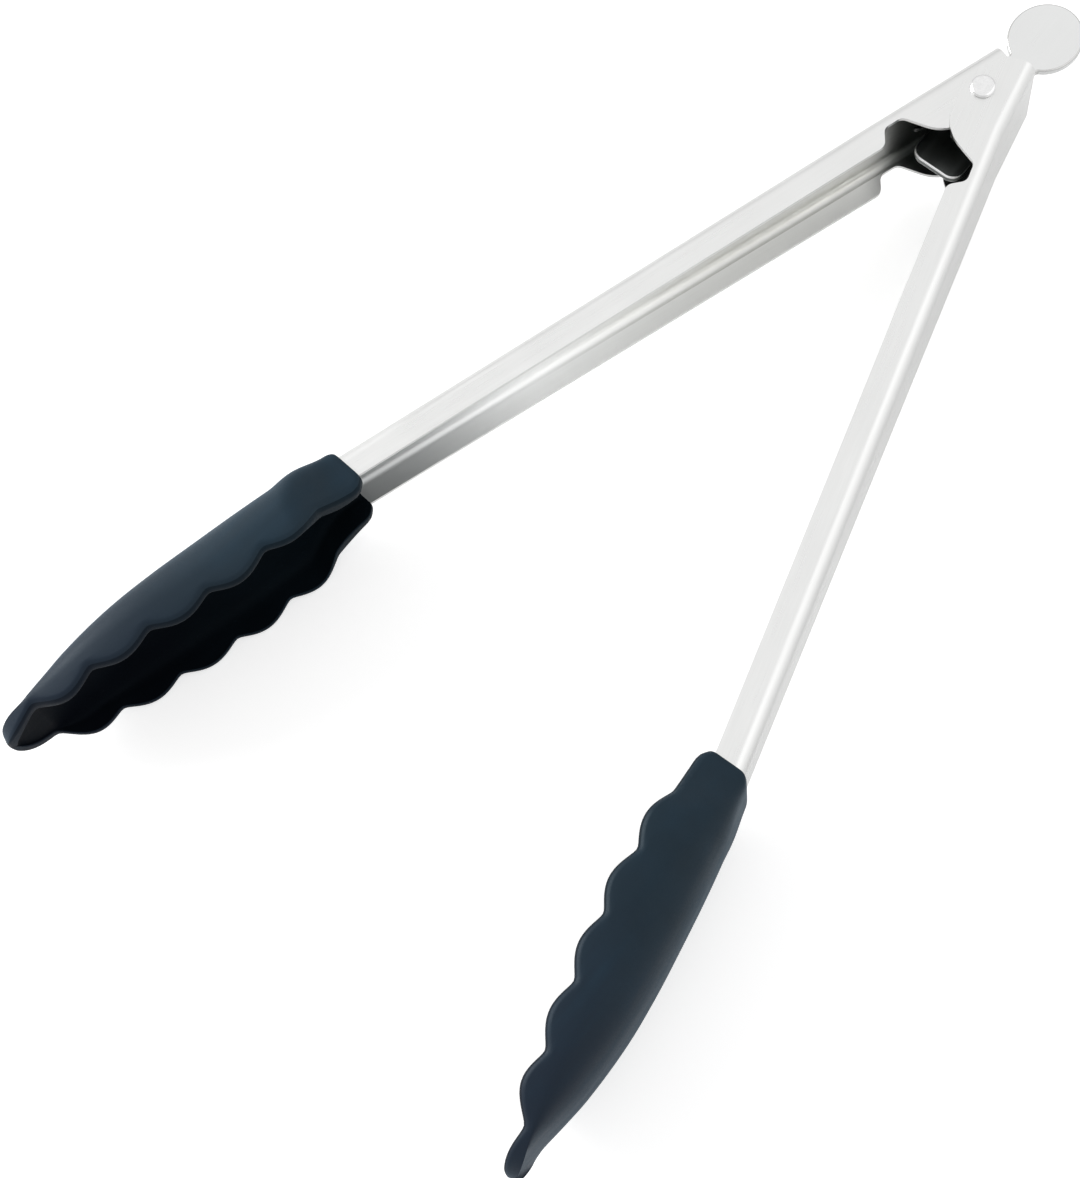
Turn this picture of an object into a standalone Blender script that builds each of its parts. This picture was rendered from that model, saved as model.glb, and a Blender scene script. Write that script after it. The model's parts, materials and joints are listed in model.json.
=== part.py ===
"""Locking kitchen tongs with scalloped silicone heads, lying open on one side.

Each arm is described along its own length: s runs from the pivot towards the
head, t runs from the pivot towards the other arm, and z runs along the pivot.
"""

import math

import bmesh
import bpy

MM = 0.001

# Pose: half the angle between the open arms
OPEN_HALF_ANGLE = math.radians(17.4)

# Arms: folded sheet channels, open towards each other
SHEET = 1.0 * MM
BEND_RADIUS = 2.2 * MM
LEAST_INNER_BEND = 0.25 * MM
WEB_BACK = 8.3 * MM
CHANNEL_DEPTH = 7.5 * MM
HINGE_WIDTH = 26.2 * MM
HEAD_END_WIDTH = 18.6 * MM
PARALLEL_LENGTH = 26.0 * MM
ARM_LENGTH = 171.0 * MM
TAIL_LENGTH = 9.9 * MM

# Cheeks round the pivot
CHEEK_REACH = 4.75 * MM
CHEEK_TOP = 2.5 * MM
CHEEK_FOOT = 12.9 * MM
CHEEK_TOP_ROUND = 10.5 * MM
CHEEK_FOOT_ROUND = 10.5 * MM
TAIL_EDGE = 2.6 * MM
TAIL_ROUND = 2.2 * MM
TAIL_CORNER_ROUND = 3.6 * MM
TAIL_FLARE = 1.3 * MM
FLARE_REACH = 9.0 * MM
CHEEK_GAP = 0.3 * MM

# Thumb notch below the cheeks
NOTCH_START = 19.3 * MM
NOTCH_LENGTH = 4.9 * MM
NOTCH_FLANK = 2.5 * MM
NOTCH_DEPTH = 4.0 * MM
NOTCH_ROUND = 2.2 * MM
NOTCH_LIP_ROUND = 2.4 * MM

# Ends of the arms inside the heads
TONGUE_SETBACK = 1.5 * MM
TONGUE_SLOPE = 7.5 * MM
TONGUE_LENGTH = 17.0 * MM
TONGUE_DEPTH = 3.8 * MM

# Pivot rivet, spacer and return spring
SHANK_RADIUS = 2.0 * MM
RUN_GAP = 0.1 * MM
SEAT_GAP = 0.3 * MM
RIVET_HEAD_RADIUS = 2.95 * MM
RIVET_HEAD_HEIGHT = 1.1 * MM
RIVET_HEAD_FLAT = 2.1 * MM
RIVET_EDGE_SHARE = 0.4
SPACER_WALL = 1.2 * MM
SPRING_WIRE = 1.2 * MM
SPRING_RADIUS = 3.2 * MM
SPRING_LEG = 14.0 * MM
SPRING_FULL_TURNS = 4

# Lock plate: a pull tab, a neck between the arms and a wide foot
LOCK_SHEET = 2.0 * MM
LOCK_EDGE_ROUND = 0.35 * MM
LOCK_TRAVEL = 7.0 * MM
TAB_WIDTH = 17.6 * MM
TAB_LENGTH = 19.0 * MM
TAB_CENTRE = 26.1 * MM
NECK_WIDTH = 7.7 * MM
NECK_ROUND = 1.6 * MM
FOOT_WIDTH = 13.5 * MM
FOOT_END = 18.0 * MM
FOOT_SHOULDER = 5.8 * MM
FOOT_TAPER = 7.5 * MM
FOOT_ROUND = 3.2 * MM

# Silicone heads
HEAD_LENGTH = 97.9 * MM
HEAD_WIDTH = 36.2 * MM
HEAD_DEPTH = 17.3 * MM
COLLAR_WALL = 1.35 * MM
MOUTH_LENGTH = 2.4 * MM
MOUTH_ROUND = 1.7 * MM
MOUTH_INSET = 0.5 * MM
COLLAR_LIP = 1.3 * MM
FLARE_START = 1.5 * MM
FLARE_LENGTH = 17.5 * MM
NOSE_LENGTH = 43.7 * MM
BACK_CROWN = 0.4 * MM
COLLAR_SQUARENESS = 8.0
HEAD_SQUARENESS = 2.6
RIM_ROUND = 2.1 * MM
RIM_WALL = 2.8 * MM
NOSE_LIP = 1.2 * MM
NOSE_END_WIDTH = 2.0 * MM
NOSE_BLUNTNESS = 2.25
TROUGH_FLOOR = 6.2 * MM
TROUGH_LEAST_DEPTH = 0.9 * MM
TROUGH_LEAST_HALF = 0.15 * MM
TROUGH_COLLAR_WALL = 1.2 * MM
TROUGH_END_HALF = 0.35 * MM
SCALLOP_PITCH = 15.3 * MM
SCALLOP_HEIGHT = 2.3 * MM
FIRST_CREST = 19.0 * MM
SCALLOP_SOFTNESS_SHARE = 0.18

# How the back and the rim climb from the collar to the nose, as shares of
# the head's length and of its depth
BACK_CLIMB_SHARES = (
    (0.0, 0.0), (0.14, 0.003), (0.27, 0.03), (0.40, 0.085), (0.52, 0.15), (0.64, 0.255),
    (0.775, 0.447), (0.855, 0.612), (0.91, 0.745), (0.955, 0.825), (1.0, 0.90),
)
RIM_CLIMB_SHARES = (
    (0.0, 0.0), (0.02, 0.11), (0.05, 0.15), (0.10, 0.185), (0.15, 0.22), (0.19, 0.25),
    (0.27, 0.315), (0.345, 0.365), (0.425, 0.395), (0.58, 0.41), (0.735, 0.42), (0.82, 0.42),
    (0.90, 0.34), (0.943, 0.308), (0.984, 0.295), (1.0, 0.29),
)
FLOOR_SHARES = ((0.0, 1.0), (0.40, 1.0), (0.80, 0.62), (0.93, 0.40), (1.0, 0.30))

# Stiff cores inside the heads
CORE_GAP = 0.25 * MM
POCKET_GAP = 0.2 * MM
CORE_START = 3.0 * MM
CORE_END_SHARE = 0.84
CORE_LOW_SHARE = 0.40
CORE_HIGH_SHARE = 0.74
CORE_WIDTH_SHARE = 0.40
CORE_ROUND = 0.7 * MM

# Fineness
OVERRUN = 2.0 * MM
WELD_GAP = 0.001 * MM
SEARCH_STEP = 0.15 * MM
ARC_STEPS = 4
ARC_REACH_SHARE = 0.48
TAB_STEPS = 36
SLOT_STEPS = 12
WALL_STEPS = 7
ROUND_STEPS = 48
MOUTH_STATIONS = 3
MOUTH_ROUND_STEPS = 3
HEAD_STATIONS = 42
NOSE_STATIONS = 9
NOSE_START_SHARE = 0.92
TROUGH_STATIONS = 44
CORE_STATIONS = 14
SPRING_STEPS = 12

# Sizes that follow from the ones above
FLANGE_EDGE = CHANNEL_DEPTH - WEB_BACK
INNER_HINGE_WIDTH = HINGE_WIDTH - 2.0 * (SHEET + CHEEK_GAP)
HOLE_RADIUS = SHANK_RADIUS + RUN_GAP
ARM_END = ARM_LENGTH + TONGUE_LENGTH
COLLAR_HALF = HEAD_END_WIDTH / 2.0 + COLLAR_WALL
COLLAR_BACK = WEB_BACK + COLLAR_WALL
COLLAR_RIM = FLANGE_EDGE + COLLAR_LIP

LEFT = 1.0
RIGHT = -1.0

STEEL = (0.78, 0.78, 0.77)
DARK_SILICONE = (0.028, 0.045, 0.06)
GREY_NYLON = (0.12, 0.12, 0.13)


def clear_scene():
    """Take away whatever the open file holds."""
    for old in list(bpy.data.objects):
        bpy.data.objects.remove(old, do_unlink=True)


def make_material(name, colour, roughness, metallic):
    """Plain surface with the piece's colour and sheen."""
    material = bpy.data.materials.new(name)
    material.use_nodes = True
    shader = material.node_tree.nodes["Principled BSDF"]
    shader.inputs["Base Color"].default_value = (*colour, 1.0)
    shader.inputs["Roughness"].default_value = roughness
    shader.inputs["Metallic"].default_value = metallic
    material.diffuse_color = (*colour, 1.0)
    return material


def make_empty(name, parent, location):
    """Axis or origin that pieces are hung on."""
    empty = bpy.data.objects.new(name, None)
    empty.empty_display_size = HINGE_WIDTH
    empty.location = location
    empty.parent = parent
    bpy.context.scene.collection.objects.link(empty)
    return empty


def make_object(name, form, parent, material=None, smooth=False):
    """Turn a finished form into a scene object."""
    bmesh.ops.recalc_face_normals(form, faces=form.faces[:])
    for face in form.faces:
        face.smooth = smooth
    mesh = bpy.data.meshes.new(name)
    form.to_mesh(mesh)
    form.free()
    if material is not None:
        mesh.materials.append(material)
    made = bpy.data.objects.new(name, mesh)
    made.parent = parent
    bpy.context.scene.collection.objects.link(made)
    return made


def make_cutter(name, form, parent):
    """Form that only cuts or trims another one."""
    cutter = make_object(name, form, parent)
    cutter.display_type = "WIRE"
    cutter.hide_render = True
    return cutter


def add_boolean(target, cutter, operation):
    """Cut or trim one object with another."""
    step = target.modifiers.new(cutter.name, "BOOLEAN")
    step.operation = operation
    step.solver = "EXACT"
    step.object = cutter


def rounded_outline(corners):
    """Points of a closed outline whose corners (x, y, radius) are arcs."""
    points = []
    count = len(corners)
    for index, (x, y, radius) in enumerate(corners):
        before = corners[index - 1]
        after = corners[(index + 1) % count]
        if radius == 0.0:
            points.append((x, y))
            continue
        in_x, in_y = before[0] - x, before[1] - y
        out_x, out_y = after[0] - x, after[1] - y
        in_length = math.hypot(in_x, in_y)
        out_length = math.hypot(out_x, out_y)
        in_x, in_y = in_x / in_length, in_y / in_length
        out_x, out_y = out_x / out_length, out_y / out_length
        half = math.acos(max(-1.0, min(1.0, in_x * out_x + in_y * out_y))) / 2.0
        longest = ARC_REACH_SHARE * min(in_length, out_length)
        reach = min(radius / math.tan(half), longest)
        radius = reach * math.tan(half)
        middle_x, middle_y = in_x + out_x, in_y + out_y
        middle_length = math.hypot(middle_x, middle_y)
        to_centre = math.hypot(radius, reach)
        centre_x = x + middle_x / middle_length * to_centre
        centre_y = y + middle_y / middle_length * to_centre
        start = math.atan2(y + in_y * reach - centre_y, x + in_x * reach - centre_x)
        end = math.atan2(y + out_y * reach - centre_y, x + out_x * reach - centre_x)
        turn = (end - start + math.pi) % (2.0 * math.pi) - math.pi
        for step in range(ARC_STEPS + 1):
            angle = start + turn * step / ARC_STEPS
            points.append((centre_x + radius * math.cos(angle), centre_y + radius * math.sin(angle)))
    return points


def prism(outline, low, high):
    """Flat outline in x and y, drawn out from z low to z high."""
    form = bmesh.new()
    base = form.faces.new([form.verts.new((x, y, low)) for x, y in outline])
    drawn = bmesh.ops.extrude_face_region(form, geom=[base])
    moved = [item for item in drawn["geom"] if isinstance(item, bmesh.types.BMVert)]
    bmesh.ops.translate(form, verts=moved, vec=(0.0, 0.0, high - low))
    return form


def loft(sections):
    """Closed body through a row of sections with equal point counts."""
    form = bmesh.new()
    rings = [[form.verts.new(point) for point in section] for section in sections]
    count = len(rings[0])
    for ring, following in zip(rings, rings[1:]):
        for index in range(count):
            after = (index + 1) % count
            form.faces.new((ring[index], ring[after], following[after], following[index]))
    form.faces.new(rings[0])
    form.faces.new(rings[-1])
    return form


def turned(profile):
    """Body turned about the z axis from (radius, z) points that start and end on it."""
    form = bmesh.new()
    chain = [form.verts.new((radius, 0.0, z)) for radius, z in profile]
    edges = [form.edges.new(pair) for pair in zip(chain, chain[1:])]
    if profile[0][0] > 0.0:
        edges.append(form.edges.new((chain[-1], chain[0])))
    bmesh.ops.spin(
        form, geom=chain + edges, cent=(0.0, 0.0, 0.0), axis=(0.0, 0.0, 1.0),
        angle=2.0 * math.pi, steps=ROUND_STEPS, use_duplicate=False,
    )
    bmesh.ops.remove_doubles(form, verts=form.verts[:], dist=WELD_GAP)
    return form


def smooth_value(table, share):
    """Smoothly read a table of (place, value) shares."""
    share = max(table[0][0], min(table[-1][0], share))
    index = 0
    while index < len(table) - 2 and share > table[index + 1][0]:
        index += 1
    (x0, y0), (x1, y1) = table[index], table[index + 1]
    steps = []
    for left, right in ((index - 1, index + 1), (index, index + 2)):
        left, right = max(left, 0), min(right, len(table) - 1)
        steps.append((table[right][1] - table[left][1]) / (table[right][0] - table[left][0]))
    span = x1 - x0
    u = (share - x0) / span
    rise = (2.0 * u ** 3 - 3.0 * u ** 2 + 1.0) * y0 + (3.0 * u ** 2 - 2.0 * u ** 3) * y1
    slope = (u ** 3 - 2.0 * u ** 2 + u) * steps[0] + (u ** 3 - u ** 2) * steps[1]
    return rise + span * slope


def on_arm(side, s, t, z):
    """Point of an arm that hangs straight towards -Y before it is swung open."""
    return (side * t, -s, z)


def tail_back(s, flared):
    """Depth of an arm's back behind the pivot line; the outer arm's tail leans out."""
    if not flared:
        return WEB_BACK
    return WEB_BACK + TAIL_FLARE * max(0.0, FLARE_REACH - s) / (FLARE_REACH + TAIL_LENGTH)


def channel_section(side, s, width, sheet, back, top):
    """U-shaped section of a folded channel at one place along the arm."""
    half = width / 2.0
    inner = half - sheet
    inner_round = max(BEND_RADIUS - sheet, LEAST_INNER_BEND)
    corners = [
        (top, half, 0.0), (-back, half, BEND_RADIUS),
        (-back, -half, BEND_RADIUS), (top, -half, 0.0),
        (top, -inner, 0.0), (sheet - back, -inner, inner_round),
        (sheet - back, inner, inner_round), (top, inner, 0.0),
    ]
    return [on_arm(side, s, t, z) for t, z in rounded_outline(corners)]


def arm_side_outline(side, flared):
    """Side view of an arm: tail, cheek, notch, straight flange and tongue."""
    behind = -WEB_BACK - TAIL_FLARE - OVERRUN
    tail_corner = -tail_back(-TAIL_LENGTH, flared) - SHEET / 2.0
    notch_floor = FLANGE_EDGE - NOTCH_DEPTH
    notch_end = NOTCH_START + NOTCH_LENGTH
    slope_start = ARM_LENGTH + TONGUE_SETBACK
    tongue_edge = FLANGE_EDGE - TONGUE_DEPTH
    corners = [
        (OVERRUN - TAIL_LENGTH, behind, 0.0),
        (-TAIL_LENGTH, tail_corner, TAIL_CORNER_ROUND),
        (-TAIL_LENGTH, -TAIL_EDGE, TAIL_ROUND),
        (-CHEEK_TOP, CHEEK_REACH, CHEEK_TOP_ROUND),
        (CHEEK_FOOT, CHEEK_REACH, CHEEK_FOOT_ROUND),
        (NOTCH_START, notch_floor, NOTCH_ROUND),
        (notch_end, notch_floor, NOTCH_ROUND),
        (notch_end + NOTCH_FLANK, FLANGE_EDGE, NOTCH_LIP_ROUND),
        (slope_start, FLANGE_EDGE, 0.0),
        (slope_start + TONGUE_SLOPE, tongue_edge, 0.0),
        (ARM_END, tongue_edge, 0.0),
        (ARM_END, behind, 0.0),
    ]
    return [(side * t, -s) for s, t in rounded_outline(corners)]


def build_arm(name, side, hinge_width, flared, pivot, material):
    """One sheet arm: folded channel, trimmed to its side view and drilled."""
    top = CHEEK_REACH + OVERRUN
    places = (
        (-TAIL_LENGTH - OVERRUN, hinge_width),
        (FLARE_REACH, hinge_width),
        (PARALLEL_LENGTH, hinge_width),
        (ARM_LENGTH, HEAD_END_WIDTH),
        (ARM_END + OVERRUN, HEAD_END_WIDTH),
    )
    sections = []
    for s, width in places:
        sections.append(channel_section(side, s, width, SHEET, tail_back(s, flared), top))
    arm = make_object(name, loft(sections), pivot, material)
    reach = HINGE_WIDTH / 2.0 + OVERRUN
    outline = arm_side_outline(side, flared)
    trim = make_cutter(name + "_side_view", prism(outline, -reach, reach), pivot)
    add_boolean(arm, trim, "INTERSECT")
    drill = turned(((0.0, -reach), (HOLE_RADIUS, -reach), (HOLE_RADIUS, reach), (0.0, reach)))
    add_boolean(arm, make_cutter(name + "_pin_hole", drill, pivot), "DIFFERENCE")
    return arm


def flare(s):
    """How far the head has opened from the collar: 0 at the collar, 1 when full."""
    u = max(0.0, min(1.0, (s - FLARE_START) / FLARE_LENGTH))
    return u * u * (3.0 - 2.0 * u)


def rim_half_width(s):
    """Half the width of the head over its rims, s from the collar."""
    into_nose = max(0.0, s - (HEAD_LENGTH - NOSE_LENGTH)) / NOSE_LENGTH
    nose = math.sqrt(max(0.0, 1.0 - into_nose ** NOSE_BLUNTNESS))
    full = max(HEAD_WIDTH / 2.0 * nose, NOSE_END_WIDTH / 2.0)
    return COLLAR_HALF + (full - COLLAR_HALF) * flare(s)


def back_level(s):
    """Where the head's back lies across the arm."""
    return smooth_value(BACK_CLIMB_SHARES, s / HEAD_LENGTH) * HEAD_DEPTH - COLLAR_BACK


def valley_level(s):
    """Where the valleys of the head's wavy rim lie across the arm."""
    return smooth_value(RIM_CLIMB_SHARES, s / HEAD_LENGTH) * HEAD_DEPTH + COLLAR_RIM


def scallop(s):
    """Height of the wavy rim over the line through its valleys; the last wave is the nose."""
    waves = (s - FIRST_CREST) / SCALLOP_PITCH
    if waves < -0.5:
        return 0.0
    soft = SCALLOP_SOFTNESS_SHARE
    lift = math.sqrt(math.cos(math.pi * waves) ** 2 + soft * soft) - soft
    return SCALLOP_HEIGHT * lift / (math.sqrt(1.0 + soft * soft) - soft)


def rim_level(s):
    """Where the head's rim lies across the arm."""
    return valley_level(s) + scallop(s)


def floor_thickness(s):
    """Thickness of the head between its back and the trough."""
    return TROUGH_FLOOR * smooth_value(FLOOR_SHARES, s / HEAD_LENGTH)


def squareness(s):
    """Power of the head's section: boxy round the arm, softly bowed where it has opened."""
    return COLLAR_SQUARENESS + (HEAD_SQUARENESS - COLLAR_SQUARENESS) * flare(s)


def bowed_wall(low, shoulder, half, power):
    """Bowed half of a section, from its middle at the low level up to its side at the shoulder."""
    points = []
    for step in range(WALL_STEPS + 1):
        angle = 0.5 * math.pi * step / WALL_STEPS
        across = abs(math.sin(angle)) ** (2.0 / power) * half
        along = abs(math.cos(angle)) ** (2.0 / power) * (shoulder - low)
        points.append((shoulder - along, across))
    return points


def mouth_inset(s):
    """How far the rounded edge of the collar's mouth draws the section in."""
    short = max(0.0, MOUTH_ROUND - s) / MOUTH_ROUND
    return MOUTH_INSET * (1.0 - math.sqrt(1.0 - short ** 2))


def head_section(side, s):
    """Outer section of a head, filled up to the rim."""
    inset = mouth_inset(s)
    rim, wide = rim_level(s) - inset, rim_half_width(s) - inset
    low = back_level(s) - BACK_CROWN * flare(s) + inset
    edge = min(RIM_ROUND - inset, wide / 2.0, (rim - low) / 2.0)
    shoulder = min(valley_level(s) - inset, rim) - edge
    half = bowed_wall(low, shoulder, wide, squareness(s))
    for step in range(ARC_STEPS + 1):
        angle = 0.5 * math.pi * step / ARC_STEPS
        half.append((rim - edge + edge * math.sin(angle), wide - edge + edge * math.cos(angle)))
    other = [(t, -z) for t, z in reversed(half[1:])]
    return [on_arm(side, ARM_LENGTH + s, t, z) for t, z in half + other]


def trough_section(side, s):
    """Section of the hollow between a head's walls, open at the rim."""
    rim = rim_level(s)
    floor = min(back_level(s) + floor_thickness(s), rim - TROUGH_LEAST_DEPTH)
    wide = rim_half_width(s + NOSE_LIP) - RIM_WALL
    collar_half = HEAD_END_WIDTH / 2.0 - SHEET - POCKET_GAP - TROUGH_COLLAR_WALL
    wide = max(collar_half + (wide - collar_half) * flare(s), TROUGH_LEAST_HALF)
    shoulder = max(min(valley_level(s), rim) - RIM_ROUND, (rim + floor) / 2.0)
    half = bowed_wall(floor, shoulder, wide, squareness(s))
    half.append((rim + OVERRUN, wide))
    other = [(t, -z) for t, z in reversed(half[1:])]
    return [on_arm(side, ARM_LENGTH + s, t, z) for t, z in half + other]


def trough_length():
    """Where the hollow closes against the lip of the nose."""
    s = HEAD_LENGTH
    while rim_half_width(s + NOSE_LIP) - RIM_WALL < TROUGH_END_HALF:
        s -= SEARCH_STEP
    return s


def head_places():
    """Places of the head's sections, closer together at the collar's mouth and the nose."""
    nose_start = HEAD_LENGTH * NOSE_START_SHARE
    places = []
    for index in range(MOUTH_ROUND_STEPS):
        angle = 0.5 * math.pi * index / MOUTH_ROUND_STEPS
        places.append(MOUTH_ROUND * (1.0 - math.cos(angle)))
    for index in range(MOUTH_STATIONS):
        places.append(MOUTH_ROUND + (MOUTH_LENGTH - MOUTH_ROUND) * index / MOUTH_STATIONS)
    for index in range(HEAD_STATIONS):
        places.append(MOUTH_LENGTH + (nose_start - MOUTH_LENGTH) * index / HEAD_STATIONS)
    for index in range(NOSE_STATIONS + 1):
        share = math.sin(0.5 * math.pi * index / NOSE_STATIONS)
        places.append(nose_start + (HEAD_LENGTH - nose_start) * share)
    return places


def tongue_pocket(side):
    """Room for the end of an arm inside a head."""
    gap = POCKET_GAP
    width = HEAD_END_WIDTH + 2.0 * gap
    sheet = SHEET + 2.0 * gap
    edge = FLANGE_EDGE + gap
    slope_start = ARM_LENGTH + TONGUE_SETBACK + gap
    places = (
        (ARM_LENGTH - OVERRUN, edge),
        (slope_start, edge),
        (slope_start + TONGUE_SLOPE, edge - TONGUE_DEPTH),
        (ARM_END + gap, edge - TONGUE_DEPTH),
    )
    back = WEB_BACK + gap
    return loft([channel_section(side, s, width, sheet, back, top) for s, top in places])


def core_body(side, gap):
    """Stiff tongue that plugs into the arm and follows the head's back."""
    end = HEAD_LENGTH * CORE_END_SHARE
    channel_half = HEAD_END_WIDTH / 2.0 - SHEET - CORE_GAP
    sections = []
    for index in range(CORE_STATIONS + 1):
        s = CORE_START + (end - CORE_START) * index / CORE_STATIONS
        if index == 0:
            s -= gap
        if index == CORE_STATIONS:
            s += gap
        low = back_level(s) + floor_thickness(s) * CORE_LOW_SHARE - gap
        high = back_level(s) + floor_thickness(s) * CORE_HIGH_SHARE + gap
        half = min(channel_half, rim_half_width(s) * CORE_WIDTH_SHARE) + gap
        corners = [
            (low, -half, CORE_ROUND), (low, half, CORE_ROUND),
            (high, half, CORE_ROUND), (high, -half, CORE_ROUND),
        ]
        sections.append([on_arm(side, ARM_LENGTH + s, t, z) for t, z in rounded_outline(corners)])
    return loft(sections)


def build_head(name, side, pivot, silicone, nylon):
    """Silicone head with its trough, wavy rims, arm pocket and stiff core."""
    shell = loft([head_section(side, s) for s in head_places()])
    head = make_object(name + "_silicone_head", shell, pivot, silicone, smooth=True)
    end = trough_length()
    places = [-OVERRUN] + [end * index / TROUGH_STATIONS for index in range(TROUGH_STATIONS + 1)]
    trough = loft([trough_section(side, s) for s in places])
    add_boolean(head, make_cutter(name + "_trough", trough, pivot), "DIFFERENCE")
    pocket = make_cutter(name + "_tongue_pocket", tongue_pocket(side), pivot)
    add_boolean(head, pocket, "DIFFERENCE")
    core_room = make_cutter(name + "_core_room", core_body(side, CORE_GAP), pivot)
    add_boolean(head, core_room, "DIFFERENCE")
    core = make_object(name + "_head_core", core_body(side, 0.0), pivot, nylon)
    return head, core


def build_rivet(root, material):
    """Pivot rivet: shank with a flat-topped head at each end."""
    seat = HINGE_WIDTH / 2.0 + RUN_GAP
    top = seat + RIVET_HEAD_HEIGHT
    upper = [(SHANK_RADIUS, seat), (RIVET_HEAD_RADIUS, seat)]
    for step in range(ARC_STEPS + 1):
        angle = 0.5 * math.pi * step / ARC_STEPS
        radius = RIVET_HEAD_FLAT + (RIVET_HEAD_RADIUS - RIVET_HEAD_FLAT) * math.cos(angle)
        rise = RIVET_EDGE_SHARE + (1.0 - RIVET_EDGE_SHARE) * math.sin(angle)
        height = RIVET_HEAD_HEIGHT * rise
        upper.append((radius, seat + height))
    upper.append((0.0, top))
    lower = [(radius, -z) for radius, z in reversed(upper)]
    return make_object("pivot_rivet", turned(lower + upper), root, material)


def build_spacer(root, material):
    """Tube that keeps the lock plate midway between the cheeks."""
    low = LOCK_SHEET / 2.0 + SEAT_GAP
    high = INNER_HINGE_WIDTH / 2.0 - SHEET - SEAT_GAP
    outer = HOLE_RADIUS + SPACER_WALL
    profile = ((HOLE_RADIUS, low), (outer, low), (outer, high), (HOLE_RADIUS, high))
    return make_object("spacer_sleeve", turned(profile), root, material)


def spring_points():
    """Centre line of the return spring, from the left leg through the coil to the right."""
    wire = SPRING_WIRE / 2.0
    high = -(LOCK_SHEET / 2.0 + SEAT_GAP + wire)
    low = -(INNER_HINGE_WIDTH / 2.0 - SHEET - SEAT_GAP - wire)
    reach_t = -(WEB_BACK - SHEET - SEAT_GAP - wire)
    leg_x = -(SPRING_LEG * math.sin(OPEN_HALF_ANGLE) - reach_t * math.cos(OPEN_HALF_ANGLE))
    leg_y = -(SPRING_LEG * math.cos(OPEN_HALF_ANGLE) + reach_t * math.sin(OPEN_HALF_ANGLE))
    lean = math.acos(SPRING_RADIUS / math.hypot(leg_x, leg_y))
    start = math.atan2(leg_y, leg_x) % (2.0 * math.pi) - lean
    end = math.atan2(leg_y, -leg_x) % (2.0 * math.pi) + lean
    turn = (end - start) % (2.0 * math.pi) - 2.0 * math.pi * (SPRING_FULL_TURNS + 1)
    steps = SPRING_STEPS * (SPRING_FULL_TURNS + 1)
    points = [(leg_x, leg_y, high)]
    for step in range(steps + 1):
        share = step / steps
        angle = start + turn * share
        height = high + (low - high) * share
        points.append((SPRING_RADIUS * math.cos(angle), SPRING_RADIUS * math.sin(angle), height))
    points.append((-leg_x, leg_y, low))
    return points


def spring_gap(points):
    """Least clear distance between two turns of the wire, measured on its points."""
    half_turn = SPRING_STEPS // 2
    spans = []
    for index, point in enumerate(points):
        spans += [math.dist(point, other) for other in points[index + half_turn:]]
    return min(spans) - SPRING_WIRE


def build_spring(root, material):
    """One unbroken wire: a coil round the rivet and a leg to each arm."""
    points = spring_points()
    print("least gap between spring turns, mm:", round(spring_gap(points) / MM, 3))
    line = bpy.data.curves.new("torsion_spring", "CURVE")
    line.dimensions = "3D"
    line.bevel_depth = SPRING_WIRE / 2.0
    line.bevel_resolution = 1
    line.use_fill_caps = True
    run = line.splines.new("POLY")
    run.points.add(len(points) - 1)
    for place, point in zip(run.points, points):
        place.co = (*point, 1.0)
    line.materials.append(material)
    spring = bpy.data.objects.new("torsion_spring", line)
    spring.parent = root
    bpy.context.scene.collection.objects.link(spring)
    return spring


def lock_outline():
    """Outline of the lock plate: oval tab, straight neck, tapering foot."""
    neck = NECK_WIDTH / 2.0
    foot = FOOT_WIDTH / 2.0
    across, along = TAB_WIDTH / 2.0, TAB_LENGTH / 2.0
    meet = math.asin(neck / across)
    tab = []
    for step in range(TAB_STEPS + 1):
        angle = -0.5 * math.pi + meet + (2.0 * math.pi - 2.0 * meet) * step / TAB_STEPS
        tab.append((across * math.cos(angle), TAB_CENTRE + along * math.sin(angle), 0.0))
    corners = [
        (-neck, FOOT_TAPER - FOOT_SHOULDER, NECK_ROUND),
        (-foot, -FOOT_SHOULDER, NECK_ROUND),
        (-foot, -FOOT_END, FOOT_ROUND),
        (foot, -FOOT_END, FOOT_ROUND),
        (foot, -FOOT_SHOULDER, NECK_ROUND),
        (neck, FOOT_TAPER - FOOT_SHOULDER, NECK_ROUND),
    ]
    return rounded_outline(corners + tab)


def build_lock_plate(slide, material):
    """Flat plate with a slot for the rivet, its edges eased."""
    half = LOCK_SHEET / 2.0
    plate = make_object("lock_plate", prism(lock_outline(), -half, half), slide, material)
    slot = []
    for centre, start in ((0.0, 0.0), (-LOCK_TRAVEL, math.pi)):
        for step in range(SLOT_STEPS + 1):
            angle = start + math.pi * step / SLOT_STEPS
            slot.append((HOLE_RADIUS * math.cos(angle), centre + HOLE_RADIUS * math.sin(angle)))
    cutter = make_cutter("lock_slot", prism(slot, -half - OVERRUN, half + OVERRUN), slide)
    add_boolean(plate, cutter, "DIFFERENCE")
    ease = plate.modifiers.new("eased_edges", "BEVEL")
    ease.width = LOCK_EDGE_ROUND
    ease.segments = 2
    ease.limit_method = "ANGLE"
    ease.angle_limit = math.radians(60.0)
    return plate


def pivot_place():
    """Where the pivot lies when the open tongs rest on their side round the origin."""
    tab_end = TAB_CENTRE + TAB_LENGTH / 2.0
    swing_x, swing_y = math.sin(OPEN_HALF_ANGLE), math.cos(OPEN_HALF_ANGLE)
    points = [point for s in head_places() for point in head_section(LEFT, s)]
    tip_end = min(y * swing_y - x * swing_x for x, y, z in points)
    return (0.0, -(tab_end + tip_end) / 2.0, -min(z for x, y, z in points))


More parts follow.
